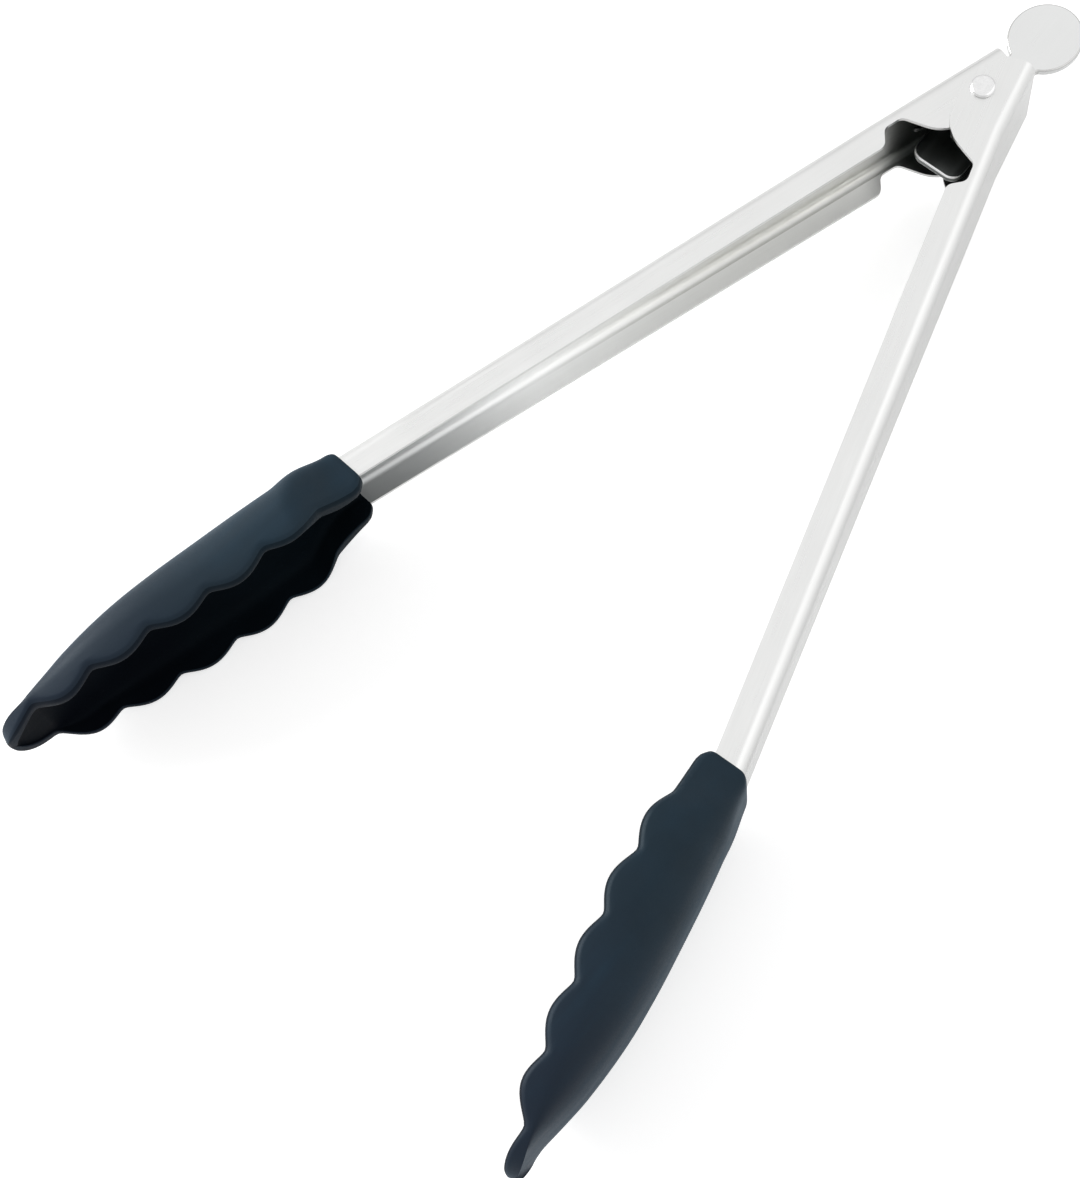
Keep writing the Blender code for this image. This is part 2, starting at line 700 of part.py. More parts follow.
def main():
    """Build the tongs, open and lying on one side."""
    clear_scene()
    arm_steel = make_material("arm_steel", STEEL, 0.32, 1.0)
    rivet_steel = make_material("rivet_steel", STEEL, 0.22, 1.0)
    plate_steel = make_material("plate_steel", STEEL, 0.28, 1.0)
    spring_steel = make_material("spring_steel", STEEL, 0.35, 1.0)
    silicone = make_material("dark_silicone", DARK_SILICONE, 0.55, 0.0)
    nylon = make_material("grey_nylon", GREY_NYLON, 0.5, 0.0)

    root = make_empty("tongs", None, pivot_place())
    left_pivot = make_empty("left_arm_pivot", root, (0.0, 0.0, 0.0))
    left_pivot.rotation_euler = (0.0, 0.0, -OPEN_HALF_ANGLE)
    right_pivot = make_empty("right_arm_pivot", root, (0.0, 0.0, 0.0))
    right_pivot.rotation_euler = (0.0, 0.0, OPEN_HALF_ANGLE)
    lock_slide = make_empty("lock_slide", root, (0.0, 0.0, 0.0))

    build_arm("left_arm", LEFT, INNER_HINGE_WIDTH, False, left_pivot, arm_steel)
    build_arm("right_arm", RIGHT, HINGE_WIDTH, True, right_pivot, arm_steel)
    build_head("left", LEFT, left_pivot, silicone, nylon)
    build_head("right", RIGHT, right_pivot, silicone, nylon)
    build_rivet(root, rivet_steel)
    build_spacer(root, rivet_steel)
    build_spring(root, spring_steel)
    build_lock_plate(lock_slide, plate_steel)


main()
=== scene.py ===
"""Finished look of a pair of locking tongs that lie open on one side.

Each arm is described along its own length: s runs from the pivot towards the
head, t runs from the pivot towards the other arm, and z runs along the pivot.
Laid out as an add-on and run as a script.
"""

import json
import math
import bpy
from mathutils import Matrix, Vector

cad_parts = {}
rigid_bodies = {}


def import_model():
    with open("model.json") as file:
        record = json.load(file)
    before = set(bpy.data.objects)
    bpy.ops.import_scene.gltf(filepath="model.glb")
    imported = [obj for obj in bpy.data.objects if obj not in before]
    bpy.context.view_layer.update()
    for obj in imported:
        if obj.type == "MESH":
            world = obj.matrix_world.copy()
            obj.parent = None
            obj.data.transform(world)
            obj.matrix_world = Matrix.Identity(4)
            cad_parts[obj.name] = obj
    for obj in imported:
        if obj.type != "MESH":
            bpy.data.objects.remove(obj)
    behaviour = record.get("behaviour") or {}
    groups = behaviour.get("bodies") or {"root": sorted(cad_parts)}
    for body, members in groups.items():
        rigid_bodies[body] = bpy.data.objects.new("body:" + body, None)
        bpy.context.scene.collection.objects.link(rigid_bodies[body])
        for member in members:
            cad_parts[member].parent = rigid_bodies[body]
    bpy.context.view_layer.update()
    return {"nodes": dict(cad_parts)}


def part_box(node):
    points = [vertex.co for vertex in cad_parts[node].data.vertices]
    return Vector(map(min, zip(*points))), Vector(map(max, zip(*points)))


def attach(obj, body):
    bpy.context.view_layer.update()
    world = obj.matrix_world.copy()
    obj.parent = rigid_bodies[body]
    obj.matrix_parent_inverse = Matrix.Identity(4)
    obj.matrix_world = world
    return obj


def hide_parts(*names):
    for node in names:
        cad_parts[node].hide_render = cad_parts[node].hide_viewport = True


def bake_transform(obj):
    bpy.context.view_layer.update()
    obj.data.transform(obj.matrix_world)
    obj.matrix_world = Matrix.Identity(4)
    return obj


bl_info = {
    "name": "Locking Tongs Finish",
    "version": (1, 0, 0),
    "blender": (4, 5, 0),
    "location": "View3D > Sidebar > Tongs",
    "description": "Builds the finished pieces of open locking tongs and the stage they lie on",
    "category": "Object",
}

import bmesh
import bpy
from bpy.props import FloatProperty, FloatVectorProperty, IntProperty, PointerProperty
from mathutils import Matrix, Vector

for leftover in list(bpy.data.objects):
    bpy.data.objects.remove(leftover, do_unlink=True)
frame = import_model()

MM = 0.001
SIDES = (("left", 1.0), ("right", -1.0))
OPEN_HALF_ANGLE = math.radians(17.4)

RIVET_LOW, RIVET_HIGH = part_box("pivot_rivet")
PIVOT = (RIVET_LOW + RIVET_HIGH) / 2.0
LOCK_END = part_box("lock_plate")[1].y
HEAD_LOW, HEAD_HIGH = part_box("left_silicone_head")

# Arm and cheek sizes, held to the packed part
WEB_BACK = 8.3 * MM
CHANNEL_DEPTH = 7.5 * MM
CHANNEL_TOP = 6.9 * MM
PARALLEL_LENGTH = 26.0 * MM
ARM_LENGTH = 171.0 * MM
TAIL_LENGTH = 9.9 * MM
TAIL_LEAN = 2.0 * MM
TAIL_FLARE = 1.3 * MM
TAIL_CORNER_ROUND = 4.4 * MM
TAIL_EDGE = 2.6 * MM
TAIL_ROUND = 2.2 * MM
FLARE_REACH = 9.0 * MM
CHEEK_TOP = 2.5 * MM
CHEEK_FOOT = 12.9 * MM
CHEEK_REACH = 4.75 * MM
CHEEK_ROUND = 10.5 * MM
NOTCH_START = 19.3 * MM
NOTCH_END = 24.2 * MM
NOTCH_LIP = 26.7 * MM
NOTCH_DEPTH = 4.0 * MM
NOTCH_ROUND = 2.2 * MM
NOTCH_LIP_ROUND = 2.4 * MM
TONGUE_SETBACK = 1.5 * MM
TONGUE_SLOPE = 7.5 * MM
TONGUE_LENGTH = 17.0 * MM
TONGUE_DEPTH = 3.8 * MM
CHEEK_GAP = 0.3 * MM
RUN_GAP = 0.1 * MM
SEAT_GAP = 0.3 * MM
PIN_HOLE = 2.1 * MM
OVERRUN = 2.0 * MM
FLANGE_EDGE = CHANNEL_DEPTH - WEB_BACK
ARM_END = ARM_LENGTH + TONGUE_LENGTH

# Head sizes, held to the packed part
COLLAR_LIP = 1.3 * MM
FLARE_START = 1.5 * MM
FLARE_LENGTH = 17.5 * MM
NOSE_LENGTH = 43.7 * MM
BACK_CROWN = 0.4 * MM
COLLAR_SQUARENESS = 8.0
HEAD_SQUARENESS = 2.6
SHOULDER_LIFT = 0.05 * MM
LIP_WALL_SHARE = 0.8
LIP_DEPTH_SHARE = 0.5
LIP_LEAST = 0.01 * MM
MOUTH_ROUND = 1.7 * MM
MOUTH_INSET = 0.5 * MM
MOUTH_LENGTH = 2.8 * MM
NOSE_LIP = 1.2 * MM
NOSE_END_WIDTH = 2.0 * MM
NOSE_BLUNTNESS = 2.25
TIP_SHARE = 0.93
TIP_ROUND = 1.1 * MM
TIP_SQUEEZE = 0.9
TROUGH_FLOOR = 6.2 * MM
TROUGH_LEAST_DEPTH = 0.9 * MM
TROUGH_LEAST_HALF = 0.12 * MM
TROUGH_COLLAR_WALL = 1.2 * MM
TROUGH_END_SLOPE = 1.1
TROUGH_END_ROOM = 1.12
TROUGH_END_STEP = 0.15 * MM
TROUGH_END_DEPTH = 0.05 * MM
POCKET_GAP = 0.2 * MM
CORE_GAP = 0.25 * MM
CORE_START = 3.0 * MM
CORE_END_SHARE = 0.84
CORE_LOW_SHARE = 0.40
CORE_HIGH_SHARE = 0.74
CORE_WIDTH_SHARE = 0.40
CORE_ROUND = 0.7 * MM
FIRST_CREST = 19.0 * MM
SCALLOP_SOFTNESS = 0.18
BACK_CLIMB = (
    (0.0, 0.0), (0.14, 0.003), (0.27, 0.03), (0.40, 0.085), (0.52, 0.15), (0.64, 0.255),
    (0.775, 0.447), (0.855, 0.612), (0.91, 0.745), (0.955, 0.825), (1.0, 0.90),
)
RIM_CLIMB = (
    (0.0, 0.0), (0.02, 0.11), (0.05, 0.15), (0.10, 0.185), (0.15, 0.22), (0.19, 0.25),
    (0.27, 0.315), (0.345, 0.365), (0.425, 0.395), (0.58, 0.41), (0.735, 0.42), (0.82, 0.42),
    (0.90, 0.34), (0.943, 0.308), (0.984, 0.295), (1.0, 0.29),
)
FLOOR_SHARES = ((0.0, 1.0), (0.40, 1.0), (0.80, 0.62), (0.93, 0.40), (1.0, 0.30))

# How the collar's mouth leans away from the hinge and curves round the arm's back
MOUTH_CORNER = 2.2 * MM
MOUTH_LEAN = 2.6 * MM
MOUTH_LEAN_MIDDLE = 0.3
MOUTH_FADE = 12.0 * MM

# Hinge and lock sizes, held to the packed part
RIVET_CROWN = 0.85 * MM
RIVET_EASE = 0.1 * MM
RIVET_EDGE_SHARE = 0.4
SPACER_WALL = 1.2 * MM
SPACER_EASE = 0.15 * MM
SPRING_LEG = 14.0 * MM
LOCK_TRAVEL = 7.0 * MM
LOCK_EDGE_ROUND = 0.4 * MM
NECK_WIDTH = 7.7 * MM
NECK_ROUND = 1.6 * MM
FOOT_WIDTH = 13.5 * MM
FOOT_SHOULDER = 5.8 * MM
FOOT_TAPER = 7.5 * MM
FOOT_END = 18.0 * MM
FOOT_ROUND = 3.2 * MM

# How corners are bowed and how finely the forms are divided
SHALLOW_CORNER = 1.2
SHALLOW_BOW = 0.35
BEND_STEPS = 10
SIDE_STEPS = 16
WALL_STEPS = 16
RIM_STEPS = 8
FLOOR_STEPS = 12
LIP_STEPS = 3
MOUTH_STEPS = 8
HEAD_STEPS = 110
TIP_STEPS = 16
CORE_STEPS = 14
CORE_CORNER_STEPS = 4
LEG_STEPS = 12
COIL_STEPS = 40
WIRE_SIDES = 14
WIRE_ENDS = (0.25, 0.72, 1.0)
WIRE_END_STEP = 0.35
TAB_STEPS = 90
LOCK_CORNER_STEPS = 10
SLOT_STEPS = 24
CROWN_STEPS = 10
FLOOR_SIDES = 96
FLOOR_RADII = (0.4, 0.9, 1.8, 3.2, 6.0)
FLOOR_DROP = 0.05 * MM

# Places of the colour mixing node's sockets, whose names are not unique
MIX_FACTOR, MIX_DARK, MIX_LIGHT, MIX_RESULT = 0, 6, 7, 2

# Where the photograph was taken from
CAMERA_AZIMUTH = math.radians(53.892)
CAMERA_ELEVATION = math.radians(69.98)
CAMERA_ROLL = math.radians(-14.426)
CAMERA_DISTANCE = 0.59708
CAMERA_ACROSS = 0.10379
CAMERA_UP = 0.11201
CAMERA_LENS = 77.08
SENSOR_WIDTH = 36.0
LAMP_DISTANCE = 1.2


def size_field(name, description, default, low, high):
    """Length that a user may change, in metres."""
    return FloatProperty(
        name=name, description=description, default=default, min=low, max=high,
        unit="LENGTH", precision=4,
    )


def share_field(name, description, default):
    """Plain share or strength."""
    return FloatProperty(
        name=name, description=description, default=default, min=0.0, max=1.0, subtype="FACTOR",
    )


def power_field(name, description, default):
    """Power of a lamp, in watts."""
    return FloatProperty(name=name, description=description, default=default, min=0.0, unit="POWER")


def colour_field(name, description, default):
    """Linear colour that a user may change."""
    return FloatVectorProperty(
        name=name, description=description, default=default, size=3, min=0.0, max=1.0,
        subtype="COLOR",
    )


class TongsArmSizes(bpy.types.PropertyGroup):
    """Sizes of the folded arms."""

    sheet: size_field("Sheet", "Thickness of the steel sheet", 0.0010, 0.0006, 0.0016)
    bend: size_field("Bend Radius", "Outer radius of the folds", 0.0032, 0.0018, 0.0040)
    hinge_width: size_field("Hinge Width", "Outer arm's width at the pivot", 0.0262, 0.02, 0.032)
    head_end_width: size_field("Head End Width", "Arms' width at the heads", 0.0186, 0.014, 0.022)
    edge_round: size_field("Edge Rounding", "Rounding of the cut sheet edges", 0.00030, 0.0, 0.0004)


class TongsHeadSizes(bpy.types.PropertyGroup):
    """Sizes of the silicone heads."""

    length: size_field("Length", "Head from collar to nose", 0.0979, 0.08, 0.11)
    width: size_field("Width", "Head over its rims", HEAD_HIGH.z - HEAD_LOW.z, 0.03, 0.042)
    depth: size_field("Depth", "Depth that the back and rims climb through", 0.0173, 0.014, 0.02)
    collar_wall: size_field("Collar Wall", "Silicone over the arm's end", 0.00135, 0.0008, 0.002)
    rim_wall: size_field("Rim Wall", "Thickness of the walls at the rim", 0.0028, 0.0018, 0.004)
    rim_round: size_field("Rim Rounding", "Outer rounding along the rim", 0.0021, 0.0008, 0.0024)
    lip_round: size_field("Lip Rounding", "Inner rounding along the rim", 0.0005, 0.0001, 0.0008)
    scallop_pitch: size_field("Scallop Pitch", "Distance between two crests", 0.0153, 0.01, 0.02)
    scallop_height: size_field("Scallop Height", "Height of the crests", 0.0023, 0.0, 0.004)


class TongsHingeSizes(bpy.types.PropertyGroup):
    """Sizes of the rivet, spacer, spring and lock plate."""

    shank: size_field("Rivet Shank", "Radius of the rivet's shank", 0.0020, 0.0015, 0.0025)
    head_radius: size_field("Rivet Head", "Radius of the rivet's heads", 0.00295, 0.0025, 0.004)
    head_height: size_field(
        "Rivet Head Height", "Height of the rivet's heads", 0.0011, 0.0006, 0.0016)
    wire: size_field("Spring Wire", "Thickness of the spring's wire", 0.0012, 0.0008, 0.0014)
    coil: size_field("Spring Radius", "Radius of the coil", 0.0032, 0.0029, 0.004)
    lock_sheet: size_field("Lock Sheet", "Thickness of the lock plate", 0.0020, 0.001, 0.0025)
    tab_width: size_field("Tab Width", "Pull tab from side to side", 0.0176, 0.012, 0.02)
    tab_length: size_field("Tab Length", "Pull tab along the tongs", 0.0190, 0.012, 0.02)
    turns: IntProperty(
        name="Spring Turns", description="Full turns of the coil", default=4, min=2, max=5)


class TongsFinish(bpy.types.PropertyGroup):
    """Colours and surface of the pieces."""

    steel: colour_field("Steel", "Satin steel of the arms", (0.81, 0.812, 0.805))
    # Painted light: a lighter copy of the steel for the inside of the folds, making up for their
    # shade
    lightened_inner_steel: colour_field("Inner Steel", "Sheet inside the folds", (0.965, 0.97, 0.965))
    # Painted shade: darker steel for the bottom of the folds near the hinge
    web_steel: colour_field("Web Steel", "Bottom of the folds near the hinge", (0.68, 0.68, 0.66))
    # Cut edges: greyer sheared steel, darkened further as painted shade for the seam between the
    # nested cheeks and the band along the lock plate's edge
    cut_and_shaded_steel: colour_field("Cut Steel", "Cut edges of the sheet", (0.62, 0.62, 0.61))
    # Steel of the rivet; at the lock plate's foot it is also a painted highlight along the end's
    # edge
    bright_steel: colour_field("Bright Steel", "Rivet and rolled edges", (0.86, 0.86, 0.86))
    plate_steel: colour_field("Plate Steel", "Lock plate", (0.79, 0.795, 0.79))
    # Painted reflection of the dark heads on the inside of the folds
    head_shade_steel: colour_field("Dimmed Steel", "Inside of the folds by the heads", (0.50, 0.51, 0.51))
    # Painted shade: near-black steel that stands in for the shade deep in the hinge
    hinge_shade_steel: colour_field("Shadowed Steel", "Darkened steel deep in the hinge", (0.15, 0.16, 0.155))
    # Painted shade: near-black wire, so that the hinge stays as dark as its shade
    spring_steel: colour_field("Spring Steel", "Blackish spring wire", (0.09, 0.09, 0.09))
    silicone: colour_field("Silicone", "Dark silicone of the heads", (0.006, 0.017, 0.029))
    # Painted shade: darker, duller copy of the silicone along the rims
    shaded_rim_silicone: colour_field("Rim Silicone", "Silicone along the rims", (0.005, 0.012, 0.019))
    # Painted shade: near-black copy of the silicone for the inside of the troughs
    shaded_trough_silicone: colour_field(
        "Trough Silicone", "Silicone inside the troughs", (0.002, 0.004, 0.006))
    nylon: colour_field("Nylon", "Cores inside the heads", (0.10, 0.10, 0.11))
    brushing: share_field("Brushing", "Depth of the brushed lines", 0.35)
    silicone_grain: share_field("Silicone Grain", "Depth of the matte grain", 0.30)


class TongsStage(bpy.types.PropertyGroup):
    """Floor, backdrop and lamps."""

    floor: colour_field("Floor", "Colour of the floor", (0.75, 0.75, 0.75))
    glow: share_field("Backdrop", "How much whiter the floor looks to the camera", 0.60)
    mirrored: share_field("Mirrored Floor", "How much whiter the floor looks in shiny pieces", 0.26)
    horizon: share_field("Horizon", "How bright shiny pieces see the surroundings low down", 0.70)
    ambient: share_field("Ambient", "Light that comes evenly from all round", 0.58)
    key: power_field("Key Lamp", "Power of the large soft lamp", 13.5)
    fill: power_field("Fill Lamp", "Power of the wider, dimmer lamp", 3.6)


# Outlines and forms


def arc_points(centre, radii, start, turn, steps):
    """Points along an arc of an ellipse, with both ends."""
    angles = [start + turn * step / steps for step in range(steps + 1)]
    return [
        (centre[0] + radii[0] * math.cos(angle), centre[1] + radii[1] * math.sin(angle))
        for angle in angles
    ]


def rounded_outline(corners, steps, most=0.48):
    """Points of a closed outline from corners (x, y, radius).

    A rounding takes at most a share of each side beside it.
    """
    points = []
    count = len(corners)
    for index, (x, y, radius) in enumerate(corners):
        before = corners[index - 1]
        after = corners[(index + 1) % count]
        if radius == 0.0:
            points.append((x, y))
            continue
        in_x, in_y = before[0] - x, before[1] - y
        out_x, out_y = after[0] - x, after[1] - y
        in_length = math.hypot(in_x, in_y)
        out_length = math.hypot(out_x, out_y)
        in_x, in_y = in_x / in_length, in_y / in_length
        out_x, out_y = out_x / out_length, out_y / out_length
        half = math.acos(max(-1.0, min(1.0, in_x * out_x + in_y * out_y))) / 2.0
        reach = min(radius / math.tan(half), most * in_length, most * out_length)
        if half > SHALLOW_CORNER:
            # A shallow corner gets a soft bow, which also serves where it is straight
            reach = min(max(reach, SHALLOW_BOW * radius), most * in_length, most * out_length)
            for step in range(steps + 1):
                u = step / steps
                pull_in, pull_out = (1.0 - u) ** 2 * reach, u * u * reach
                points.append((
                    x + in_x * pull_in + out_x * pull_out, y + in_y * pull_in + out_y * pull_out))
            continue
        radius = reach * math.tan(half)
        middle_x, middle_y = in_x + out_x, in_y + out_y
        to_centre = math.hypot(radius, reach) / math.hypot(middle_x, middle_y)
        centre_x = x + middle_x * to_centre
        centre_y = y + middle_y * to_centre
        start = math.atan2(y + in_y * reach - centre_y, x + in_x * reach - centre_x)
        end = math.atan2(y + out_y * reach - centre_y, x + out_x * reach - centre_x)
        turn = (end - start + math.pi) % (2.0 * math.pi) - math.pi
        points += arc_points((centre_x, centre_y), (radius, radius), start, turn, steps)
    return points


def prism(outline, low, high):
    """Flat outline in x and y, drawn out from z low to z high."""
    form = bmesh.new()
    base = form.faces.new([form.verts.new((x, y, low)) for x, y in outline])
    drawn = bmesh.ops.extrude_face_region(form, geom=[base])
    moved = [item for item in drawn["geom"] if isinstance(item, bmesh.types.BMVert)]
    bmesh.ops.translate(form, verts=moved, vec=(0.0, 0.0, high - low))
    return form


def loft(sections, caps=(0, -1)):
    """Body through a row of sections with equal point counts, closed at the named sections."""
    form = bmesh.new()
    rings = [[form.verts.new(point) for point in section] for section in sections]
    count = len(rings[0])
    for ring, following in zip(rings, rings[1:]):
        for index in range(count):
            after = (index + 1) % count
            form.faces.new((ring[index], ring[after], following[after], following[index]))
    for cap in caps:
        form.faces.new(rings[cap])
    return form


def line_hollow(form, count, places, material):
    """Give the faces between certain points of a loft's sections another material."""
    form.verts.index_update()
    for face in form.faces:
        if len(face.verts) == 4 and all(vertex.index % count in places for vertex in face.verts):
            face.material_index = material


def turned(profile, steps=96):
    """Body turned about the z axis from (radius, z) points."""
    form = bmesh.new()
    chain = [form.verts.new((radius, 0.0, z)) for radius, z in profile]
    edges = [form.edges.new(pair) for pair in zip(chain, chain[1:])]
    if profile[0][0] > 0.0:
        edges.append(form.edges.new((chain[-1], chain[0])))
    bmesh.ops.spin(
        form, geom=chain + edges, cent=(0.0, 0.0, 0.0), axis=(0.0, 0.0, 1.0),
        angle=2.0 * math.pi, steps=steps, use_duplicate=False,
    )
    bmesh.ops.remove_doubles(form, verts=form.verts[:], dist=RUN_GAP / 100.0)
    return form


def smooth_value(table, share):
    """Smoothly read a table of (place, value) shares."""
    share = max(table[0][0], min(table[-1][0], share))
    index = 0
    while index < len(table) - 2 and share > table[index + 1][0]:
        index += 1
    (x0, y0), (x1, y1) = table[index], table[index + 1]
    steps = []
    for left, right in ((index - 1, index + 1), (index, index + 2)):
        left, right = max(left, 0), min(right, len(table) - 1)
        steps.append((table[right][1] - table[left][1]) / (table[right][0] - table[left][0]))
    span = x1 - x0
    u = (share - x0) / span
    rise = (2.0 * u ** 3 - 3.0 * u ** 2 + 1.0) * y0 + (3.0 * u ** 2 - 2.0 * u ** 3) * y1
    slope = (u ** 3 - 2.0 * u ** 2 + u) * steps[0] + (u ** 3 - u ** 2) * steps[1]
    return rise + span * slope


def ease(u):
    """Smooth climb from 0 to 1."""
    u = max(0.0, min(1.0, u))
    return u * u * (3.0 - 2.0 * u)


def on_arm(side, s, t, z):
    """Point of an arm that hangs straight towards -Y before it is swung open."""
    return (side * t, -s, z)


# Pieces


def forget(name):
    """Remove a piece that an earlier run left."""
    old = bpy.data.objects.get(name)
    if old is not None:
        bpy.data.objects.remove(old, do_unlink=True)


def make_piece(name, form, materials=()):
    """Turn a finished form into a scene object."""
    forget(name)
    bmesh.ops.recalc_face_normals(form, faces=form.faces[:])
    mesh = bpy.data.meshes.new(name)
    form.to_mesh(mesh)
    form.free()
    for material in materials:
        mesh.materials.append(material)
    piece = bpy.data.objects.new(name, mesh)
    bpy.context.scene.collection.objects.link(piece)
    return piece


def cut(piece, name, form, operation, cutters):
    """Cut or trim a piece with a form."""
    cutter = make_piece(name, form)
    cutter.hide_render = True
    step = piece.modifiers.new(name, "BOOLEAN")
    step.operation = operation
    step.solver = "EXACT"
    step.object = cutter
    cutters.append(cutter)


def ease_edges(piece, width, segments, angle, material=-1):
    """Round the edges that are sharper than an angle in degrees."""
    step = piece.modifiers.new("eased_edges", "BEVEL")
    step.width = width
    step.segments = segments
    step.limit_method = "ANGLE"
    step.angle_limit = math.radians(angle)
    step.material = material
    step.miter_outer = "MITER_ARC"


def settle(piece, cutters=(), sharp=50.0):
    """Make a piece's modifiers final, drop its cutters and shade it evenly."""
    graph = bpy.context.evaluated_depsgraph_get()
    final = bpy.data.meshes.new_from_object(piece.evaluated_get(graph), depsgraph=graph)
    piece.modifiers.clear()
    piece.data = final
    for cutter in cutters:
        bpy.data.objects.remove(cutter, do_unlink=True)
    final.shade_smooth()
    final.set_sharp_from_angle(angle=math.radians(sharp))
    even = piece.modifiers.new("even_shading", "WEIGHTED_NORMAL")
    even.keep_sharp = True
    return piece


def place(piece, body, nodes, swing=0.0):
    """Put a piece at the pivot, let it ride on a body and stand for its nodes."""
    piece.data.transform(Matrix.Translation(PIVOT) @ Matrix.Rotation(swing, 4, "Z"))
    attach(piece, body)
    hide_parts(*nodes)


# Arms


def inner_width(arms):
    """Width of the inner arm, whose cheeks lie inside the outer arm's."""
    return arms.hinge_width - 2.0 * (arms.sheet + CHEEK_GAP)


def tail_back(s, flared):
    """Depth of an arm's back behind the pivot line; the outer arm's tail leans out."""
    if not flared:
        return WEB_BACK
    return WEB_BACK + TAIL_FLARE * max(0.0, FLARE_REACH - s) / (FLARE_REACH + TAIL_LENGTH)


def channel_section(side, s, width, sheet, bend, back, top):
    """U-shaped section of a folded channel at one place along the arm."""
    half = width / 2.0
    inner = half - sheet
    inner_round = max(bend - sheet, sheet / 4.0)
    corners = [
        (top, half, 0.0), (-back, half, bend),
        (-back, -half, bend), (top, -half, 0.0),
        (top, -inner, 0.0), (sheet - back, -inner, inner_round),
        (sheet - back, inner, inner_round), (top, inner, 0.0),
    ]
    return [on_arm(side, s, t, z) for t, z in rounded_outline(corners, BEND_STEPS)]


def arm_side_outline(side, flared, sheet):
    """Side view of an arm: tail, cheek, thumb notch, straight flange and tongue."""
    behind = -WEB_BACK - TAIL_FLARE - OVERRUN
    tail_corner = -tail_back(-TAIL_LENGTH, flared) - sheet / 2.0
    notch_floor = FLANGE_EDGE - NOTCH_DEPTH
    slope_start = ARM_LENGTH + TONGUE_SETBACK
    tongue_edge = FLANGE_EDGE - TONGUE_DEPTH
    corners = (
        (TAIL_LEAN - TAIL_LENGTH, behind, 0.0),
        (-TAIL_LENGTH, tail_corner, TAIL_CORNER_ROUND),
        (-TAIL_LENGTH, -TAIL_EDGE, TAIL_ROUND),
        (-CHEEK_TOP, CHEEK_REACH, CHEEK_ROUND),
        (CHEEK_FOOT, CHEEK_REACH, CHEEK_ROUND),
        (NOTCH_START, notch_floor, NOTCH_ROUND),
        (NOTCH_END, notch_floor, NOTCH_ROUND),
        (NOTCH_LIP, FLANGE_EDGE, NOTCH_LIP_ROUND),
        (slope_start, FLANGE_EDGE, 0.0),
        (slope_start + TONGUE_SLOPE, tongue_edge, 0.0),
        (ARM_END, tongue_edge, 0.0),
        (ARM_END, behind, 0.0),
    )
    return [(side * t, -s) for s, t in rounded_outline(corners, SIDE_STEPS, most=0.7)]


def build_arm(name, side, hinge_width, flared, sizes, materials):
    """One sheet arm: folded channel, trimmed to its side view, drilled and eased."""
    places = (
        (-TAIL_LENGTH - OVERRUN, hinge_width),
        (FLARE_REACH, hinge_width),
        (PARALLEL_LENGTH, hinge_width),
        (ARM_LENGTH, sizes.head_end_width),
        (ARM_END + OVERRUN, sizes.head_end_width),
    )
    sections = [
        channel_section(side, s, width, sizes.sheet, sizes.bend, tail_back(s, flared), CHANNEL_TOP)
        for s, width in places
    ]
    form = loft(sections)
    # The second half of each section is the inside of the fold; painted shade on the web runs
    # from its lower bend to halfway round its upper one
    count = len(sections[0])
    inside = count // 2
    line_hollow(form, count, range(inside, count), 1)
    line_hollow(form, count, range(inside + 1, inside + 3 * BEND_STEPS // 2 + 3), 3)
    arm = make_piece(name, form, materials)
    cutters = []
    reach = hinge_width / 2.0 + OVERRUN
    side_view = prism(arm_side_outline(side, flared, sizes.sheet), -reach, reach)
    cut(arm, name + "_side_view", side_view, "INTERSECT", cutters)
    drill = turned(((0.0, -reach), (PIN_HOLE, -reach), (PIN_HOLE, reach), (0.0, reach)))
    cut(arm, name + "_pin_hole", drill, "DIFFERENCE", cutters)
    ease_edges(arm, sizes.edge_round, segments=2, angle=40.0, material=2)
    return settle(arm, cutters)


# Heads


def bowed_wall(low, shoulder, half, power, steps):
    """Bowed half of a section, from its middle at the low level up to its side at the shoulder."""
    points = []
    for step in range(steps + 1):
        angle = 0.5 * math.pi * step / steps
        across = abs(math.sin(angle)) ** (2.0 / power) * half
        along = abs(math.cos(angle)) ** (2.0 / power) * (shoulder - low)
        points.append((shoulder - along, across))
    return points


def quarter_round(level, across, radius, steps):
    """Quarter circle about a centre, from its side round to its top."""
    arc = arc_points((across, level), (radius, radius), 0.0, 0.5 * math.pi, steps)
    return [(t, z) for z, t in arc]


